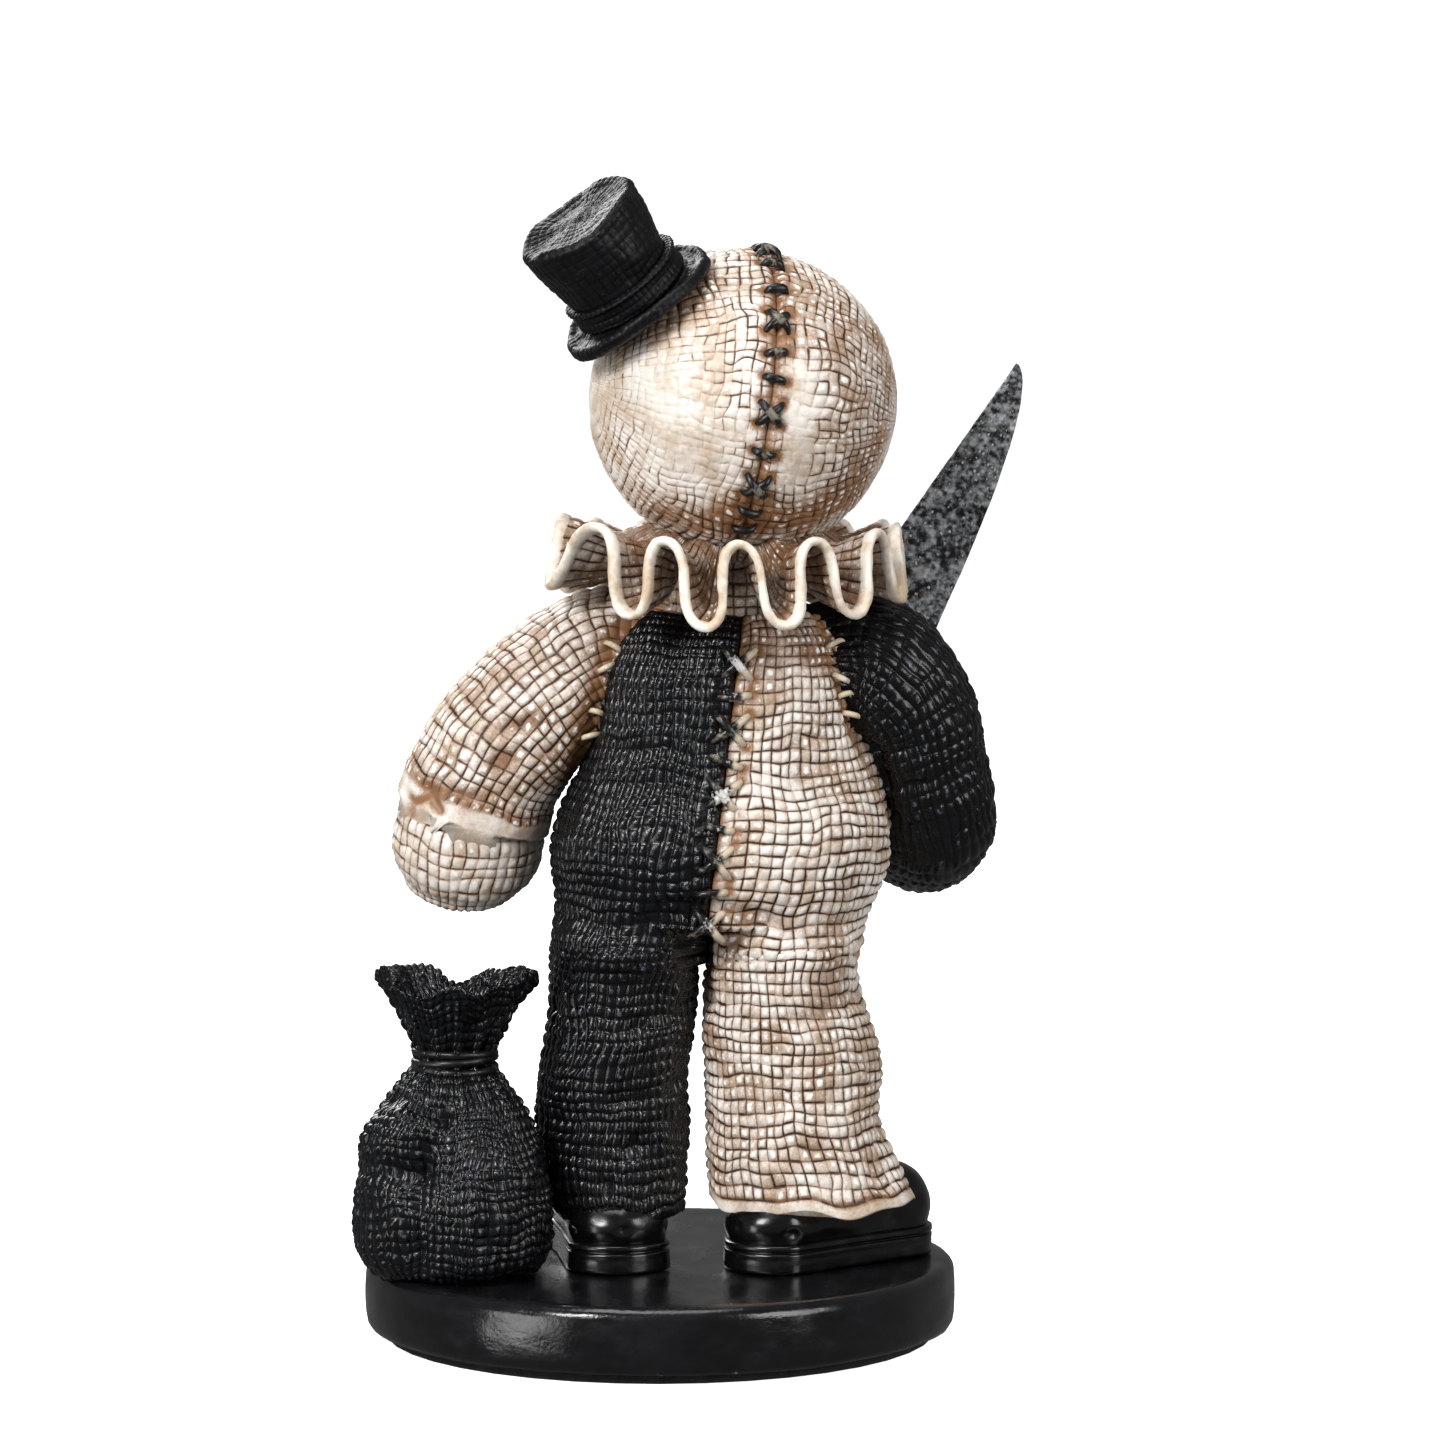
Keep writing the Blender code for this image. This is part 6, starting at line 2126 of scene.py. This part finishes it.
@dataclass
class Knife:
    """The kitchen knife: sponged blade, two handle scales, rivets.

    gap is the CAD's space between the tang and a scale, and grip is how much of it a scale fills.
    """

    tip: Point = (-49.7, -24.2, 131.6)
    lean_degrees: float = 35.0
    length: float = 45.0
    width: float = 13.6
    spine: float = 3.4
    belly_power: float = 0.55
    thickness: float = 1.2
    handle_length: float = 24.0
    handle_half_width: float = 2.7
    scale_thickness: float = 1.5
    gap: float = 0.3
    grip: float = 0.26

    def __post_init__(self) -> None:
        """Works out the knife's own frame, with its origin where the blade leaves the handle."""
        lean = Matrix.Rotation(-math.radians(self.lean_degrees), 4, "Y")
        heel = Vector(self.tip) - lean @ Vector((self.spine, 0.0, self.length))
        self.place = Matrix.Translation(heel) @ lean

    def build(self, shop: Workshop) -> None:
        """Builds the blade and the handle."""
        blade = Sheet(
            "knife_blade_cast", BladeForm(self), 0.9, SMOOTH,
            lumps=((0.05, 2.5), (0.03, 0.9)), seed=81,
        ).build()
        places = moved(points_of(blade), self.place.inverted())
        up = places[:, 2] / self.length
        belly = self.spine - self.width * np.clip(1 - up, 0, 1) ** self.belly_power
        from_edge, from_spine = places[:, 0] - belly, self.spine - places[:, 0]
        dark = smoothstep(0.5, 0.05, up) * 0.6 + 0.25 * bell(from_spine, 0.9)
        bare = bell(from_spine - 3.6, 3.4) * smoothstep(0.25, 0.6, up)
        edge = bell(from_edge, 0.35) * (up > 0.12) * 0.62
        chips = edge + 0.8 * smoothstep(0.93, 1.0, up) + 0.5 * bell(from_spine, 0.3) * (up > 0.75)
        paint(blade, dark, bare, chips * (0.7 + 0.4 * soft_noise(places, 1.2, 5)))
        shop.dress(blade, SpongedFinish(), "knife_blade")
        for name, way in (("knife_scale_front", -1), ("knife_scale_back", 1)):
            shop.dress(self.scale(f"{name}_cast", way), HANDLE_PAINT, name)
        for node in ("knife_rivet_1", "knife_rivet_2"):
            shop.keep(node, STEEL)

    def scale(self, name: str, way: int) -> bpy.types.Object:
        """One rounded handle scale, on the front or the back of the tang."""
        deselect()
        half, thick = self.handle_half_width, self.scale_thickness
        bpy.ops.mesh.primitive_cube_add(size=1, location=(0, 0, -self.handle_length / 2 * MM))
        obj = bpy.context.object
        obj.name = obj.data.name = name
        obj.scale = (2 * half * 0.86 * MM, (thick + self.grip) * MM, (self.handle_length - 0.6) * MM)
        bpy.ops.object.transform_apply(location=True, rotation=False, scale=True)
        bpy.ops.object.mode_set(mode="EDIT")
        bpy.ops.mesh.select_all(action="SELECT")
        bpy.ops.mesh.subdivide(number_cuts=9)
        bpy.ops.object.mode_set(mode="OBJECT")
        places = points_of(obj)
        down = -places[:, 2] / self.handle_length
        places[:, 0] *= 0.9 + 0.22 * np.sin(math.pi * (down * 1.7 + 0.35)) ** 2
        places[:, 1] += way * (self.thickness / 2 + self.gap + (thick - self.grip) / 2)
        set_points(obj, places)
        pick(obj)
        soft = obj.modifiers.new("round", "BEVEL")
        soft.width, soft.segments = 0.45 * MM, 4
        soft.limit_method, soft.angle_limit = "ANGLE", math.radians(50)
        bpy.ops.object.modifier_apply(modifier=soft.name)
        bpy.ops.object.mode_set(mode="EDIT")
        bpy.ops.mesh.select_all(action="SELECT")
        bpy.ops.mesh.remove_doubles(threshold=SAME_POINT)
        close_up(obj, 40)
        apply_place(obj, self.place)
        worn = np.abs(places[:, 0]).max()
        rubbed = smoothstep(0.8, 1.0, np.abs(moved(points_of(obj), self.place.inverted())[:, 0]) / worn)
        paint(obj, 0.0, 0.4, rubbed * 0.6)
        return obj


class BladeForm:
    """The blade: round it from the spine over one face to the edge and back, and along it to the tip."""

    def __init__(self, knife: Knife) -> None:
        """Takes the knife's sizes."""
        self.knife = knife
        self.length = knife.length + knife.handle_length
        self.girth = 2 * knife.width

    def at(self, turn: Array, run: Array) -> Array:
        """The points at these shares of the way round and of the length, from the tang to the tip."""
        knife = self.knife
        up = -knife.handle_length + 0.4 + (self.length - 0.45) * run
        share = np.clip(1 - up / knife.length, 0.0, 1.0)
        in_tang = smoothstep(0.35, 0.0, up)
        belly = (knife.spine - knife.width * share**knife.belly_power) * (1 - in_tang) - 1.8 * in_tang
        spine = knife.spine * (1 - in_tang) + 1.8 * in_tang
        angle = TURN * turn
        across = (0.5 + 0.5 * np.cos(angle)) ** 0.9
        x = belly + (spine - belly) * across
        grind = np.clip((x - belly) / 5.5, 0, 1) ** 0.8
        thin = 0.06 + (1 - 0.06) * grind
        thin = thin * (1 - in_tang) + in_tang
        point = smoothstep(0.0, 0.08, share) ** 0.5
        profile = np.sign(np.sin(angle)) * np.abs(np.sin(angle)) ** 0.25
        y = 0.5 * knife.thickness * thin * profile * (0.25 + 0.75 * point)
        return moved(np.stack([x, y, up], -1), knife.place)


@dataclass
class Sack:
    """The tied sack with its open frilled mouth."""

    foot: tuple[float, float] = (27.6, 12.4)
    profile: Sequence[tuple[float, float]] = (
        (0.01, 10.5), (5, 10.5), (9.4, 10.55), (11.6, 11.6), (12.7, 14), (13, 18), (12.4, 24), (11.3, 29),
        (9.4, 33.4), (6.9, 36.6), (5.2, 38.4), (5, 39.6), (5.4, 41), (6.8, 43.6), (8.6, 47.2), (10, 49.4),
        (10.35, 50.2), (10, 50.6), (9.3, 49.9), (7.6, 47), (6, 45), (3.6, 44.2), (0.01, 44.3),
    )
    pleats: int = 15
    flutes: int = 7
    neck_height: float = 39.5
    tie_radius: float = 0.85
    hoop_radius: float = 5.35
    wraps: int = 3

    def build(self, shop: Workshop) -> None:
        """Builds the bag and its cord."""
        x, y = self.foot
        place = Matrix.Translation((x, y, 0.0))
        strokes = [
            Stroke(((x + 7.6, y + 6.6, 31), (x + 9.4, y + 4, 28)), 5.4, -1.5),
            Stroke(((x + 9, y + 8, 21.5), (x + 10.6, y + 5, 15)), 6, -1.3),
            Stroke(((x + 4, y + 11.6, 29), (x + 5.2, y + 12.6, 20), (x + 4.8, y + 12.2, 11)), 1.9, 1.5),
            Stroke(((x + 4.5, y + 11.6, 26), (x + 10, y + 8.6, 25), (x + 13.6, y + 2, 25.4)), 1.9, 1.3),
            Stroke(((x + 1, y + 9.4, 33), (x + 5.6, y + 7.6, 34.6), (x + 9, y + 2, 34.6)), 1.3, 1),
            Stroke(((x - 6, y + 9.5, 34), (x - 5.5, y + 11.4, 24), (x - 4, y + 12.4, 15)), 1.2, 0.5),
            Stroke(((x + 0.5, y + 10, 34), (x + 0, y + 12.6, 26)), 1, 0.5),
            Stroke(((x - 11, y - 4, 28), (x - 12.5, y - 2, 18)), 1.4, 0.8),
            Stroke(((x + 2, y - 11, 31), (x + 1, y - 13, 18)), 1.3, 0.8),
        ]
        bag = Sheet(
            "sack_bag_cloth", TurnedForm(self.profile, place, self.gathered), 1.4,
            Weave(depth=0.28, weft=0.7, warp=1.0, uneven=0.45, lift=0.26, wander=0.7, tilt=0.5),
            strokes=strokes, lumps=((0.6, 5.0), (0.2, 2.2)), seed=91,
        )
        shop.dress(bag.build(), BLACK_BURLAP, "sack_bag")
        shop.dress(self.tie(), BLACK_THREAD, "sack_tie")

    def gathered(self, angle: Array, radius: Array, height: Array) -> tuple[Array, Array]:
        """Pleats at the neck, flutes on the frill and a mouth with two lobes."""
        near = bell(height - self.neck_height, 6.0)
        frill = smoothstep(41.0, 50.0, height) * smoothstep(2.0, 8.0, radius)
        low = smoothstep(12.0, 20.0, height)
        pleat = np.cos(self.pleats * angle + 0.8 * np.sin(2 * angle))
        wider = 0.55 * near * low * pleat * smoothstep(2, 5, radius)
        wider = wider + frill * (0.75 * np.cos(self.flutes * angle + 0.5) + 0.5 * np.cos(3 * angle + 2.0))
        higher = frill * (0.9 * np.cos(2 * angle + 0.2) + 0.7 * np.sin(5 * angle) + 0.4 * np.sin(9 * angle))
        return wider, higher

    def tie(self) -> bpy.types.Object:
        """Three wraps of cord round the neck, each a hoop."""
        x, y = self.foot
        hoops = []
        for k in range(self.wraps):
            deselect()
            tilt = math.radians((-4, 3, -2)[k])
            height = self.neck_height + (k - 1) * self.tie_radius * 1.15
            bpy.ops.mesh.primitive_torus_add(
                major_segments=96, minor_segments=12, major_radius=self.hoop_radius * MM,
                minor_radius=self.tie_radius * 0.66 * MM,
                location=(x * MM, y * MM, height * MM), rotation=(tilt, tilt / 2, k),
            )
            hoop = bpy.context.object
            apply_place(hoop)
            hoops.append(hoop)
        cord = joined("sack_tie_cord", hoops)
        roughen(cord, ((0.1, 1.1), (0.05, 0.6)), 15)
        pick(cord)
        bpy.ops.object.shade_smooth()
        paint(cord, 0.0, 0.0, 0.2 + 0.4 * soft_noise(points_of(cord), 1.2, 4))
        return cord


# ---------------------------------------------------------------- the studio


@dataclass(frozen=True)
class Softbox:
    """One soft light: where it hangs, its side and its power in watts."""

    name: str
    place: Point
    side: float
    power: float


@dataclass
class Studio:
    """Pale floor curving up into a pale wall, soft light and the camera, in metres."""

    camera_place: Point = (0.0, 0.850, 0.1633)
    camera_target: Point = (-0.00856, 0.0, 0.08367)
    lens: float = 156.5
    sensor: float = 36.0
    figure_middle: Point = (0.0, 0.0, 0.08)
    floor_radius: float = 3.0
    wall_height: float = 4.0
    floor_glow: float = 0.9
    sky: float = 0.16
    boxes: tuple[Softbox, ...] = (
        Softbox("key", (0.46, 0.62, 0.50), 0.26, 6.3),
        Softbox("fill", (-0.62, 0.50, 0.30), 0.40, 3.5),
        Softbox("low", (0.56, 0.40, 0.02), 0.26, 1.2),
        Softbox("top", (0.05, 0.10, 0.85), 0.45, 3.0),
        Softbox("front", (0.30, -0.75, 0.50), 0.45, 5.0),
    )

    def build(self) -> None:
        """Lays the floor, hangs the lights and sets the camera."""
        self.floor()
        world = bpy.data.worlds.new("studio")
        world.use_nodes = True
        backdrop = world.node_tree.nodes["Background"]
        backdrop.inputs["Color"].default_value = (1.0, 1.0, 1.0, 1.0)
        backdrop.inputs["Strength"].default_value = self.sky
        bpy.context.scene.world = world
        for box in self.boxes:
            data = bpy.data.lights.new(box.name, "AREA")
            data.size, data.energy = box.side, box.power
            self.aim(bpy.data.objects.new(box.name, data), box.place, self.figure_middle)
        data = bpy.data.cameras.new("studio_camera")
        data.lens, data.sensor_width, data.sensor_height = self.lens, self.sensor, self.sensor
        camera = bpy.data.objects.new("studio_camera", data)
        self.aim(camera, self.camera_place, self.camera_target)
        bpy.context.scene.camera = camera
        bpy.context.scene.view_settings.view_transform = "Standard"

    def floor(self) -> None:
        """A pale disc whose edge is pulled up into a wall, which glows but lights nothing."""
        deselect()
        bpy.ops.mesh.primitive_circle_add(vertices=64, radius=self.floor_radius, fill_type="NGON")
        floor = bpy.context.object
        floor.name = "studio_floor"
        bpy.ops.object.mode_set(mode="EDIT")
        bpy.ops.mesh.select_all(action="SELECT")
        bpy.ops.mesh.inset(thickness=self.floor_radius * 0.15)
        bpy.ops.mesh.select_all(action="DESELECT")
        bpy.ops.mesh.select_non_manifold()
        bpy.ops.mesh.extrude_region_move(TRANSFORM_OT_translate={"value": (0, 0, self.wall_height)})
        bpy.ops.object.mode_set(mode="OBJECT")
        board = Board("floor_paper")
        board.set(Base_Color=shade(245, 245, 245), Roughness=0.9, Emission_Color=shade(255, 255, 255))
        board.set(Emission_Strength=self.floor_glow)
        floor.data.materials.append(board.material)
        floor.visible_diffuse = floor.visible_glossy = floor.visible_shadow = False

    @staticmethod
    def aim(obj: bpy.types.Object, place: Point, target: Point) -> None:
        """Puts a light or the camera at a place, facing a target."""
        obj.location = place
        facing = Vector(target) - Vector(place)
        obj.rotation_euler = facing.to_track_quat("-Z", "Y").to_euler()
        bpy.context.collection.objects.link(obj)


RODS = (
    "left_leg_rod", "right_leg_rod", "neck_rod", "left_shoulder_peg", "right_shoulder_peg",
    "left_wrist_peg", "right_wrist_peg", "sack_peg", "hat_peg",
)


def main() -> None:
    """Builds every sub-assembly in order."""
    logging.basicConfig(level=logging.INFO, format="%(name)s: %(message)s")
    shop, sewing = Workshop(), Stitching()
    Studio().build()
    Plinth().build(shop)
    Shoe(Side.LEFT, (5.9, 8.6), 8.0).build(shop)
    Shoe(Side.RIGHT, (-16.2, 9.0), -50.0).build(shop)
    Suit(Torso()).build(shop, sewing)
    Ruff(CollarForm()).build(shop)
    HeadMaker(Head()).build(shop, sewing)
    Hat().build(shop)
    Knife().build(shop)
    Sack().build(shop)
    for rod in RODS:
        shop.keep(rod, STEEL)
    sewing.put_away()


if __name__ == "__main__":
    main()
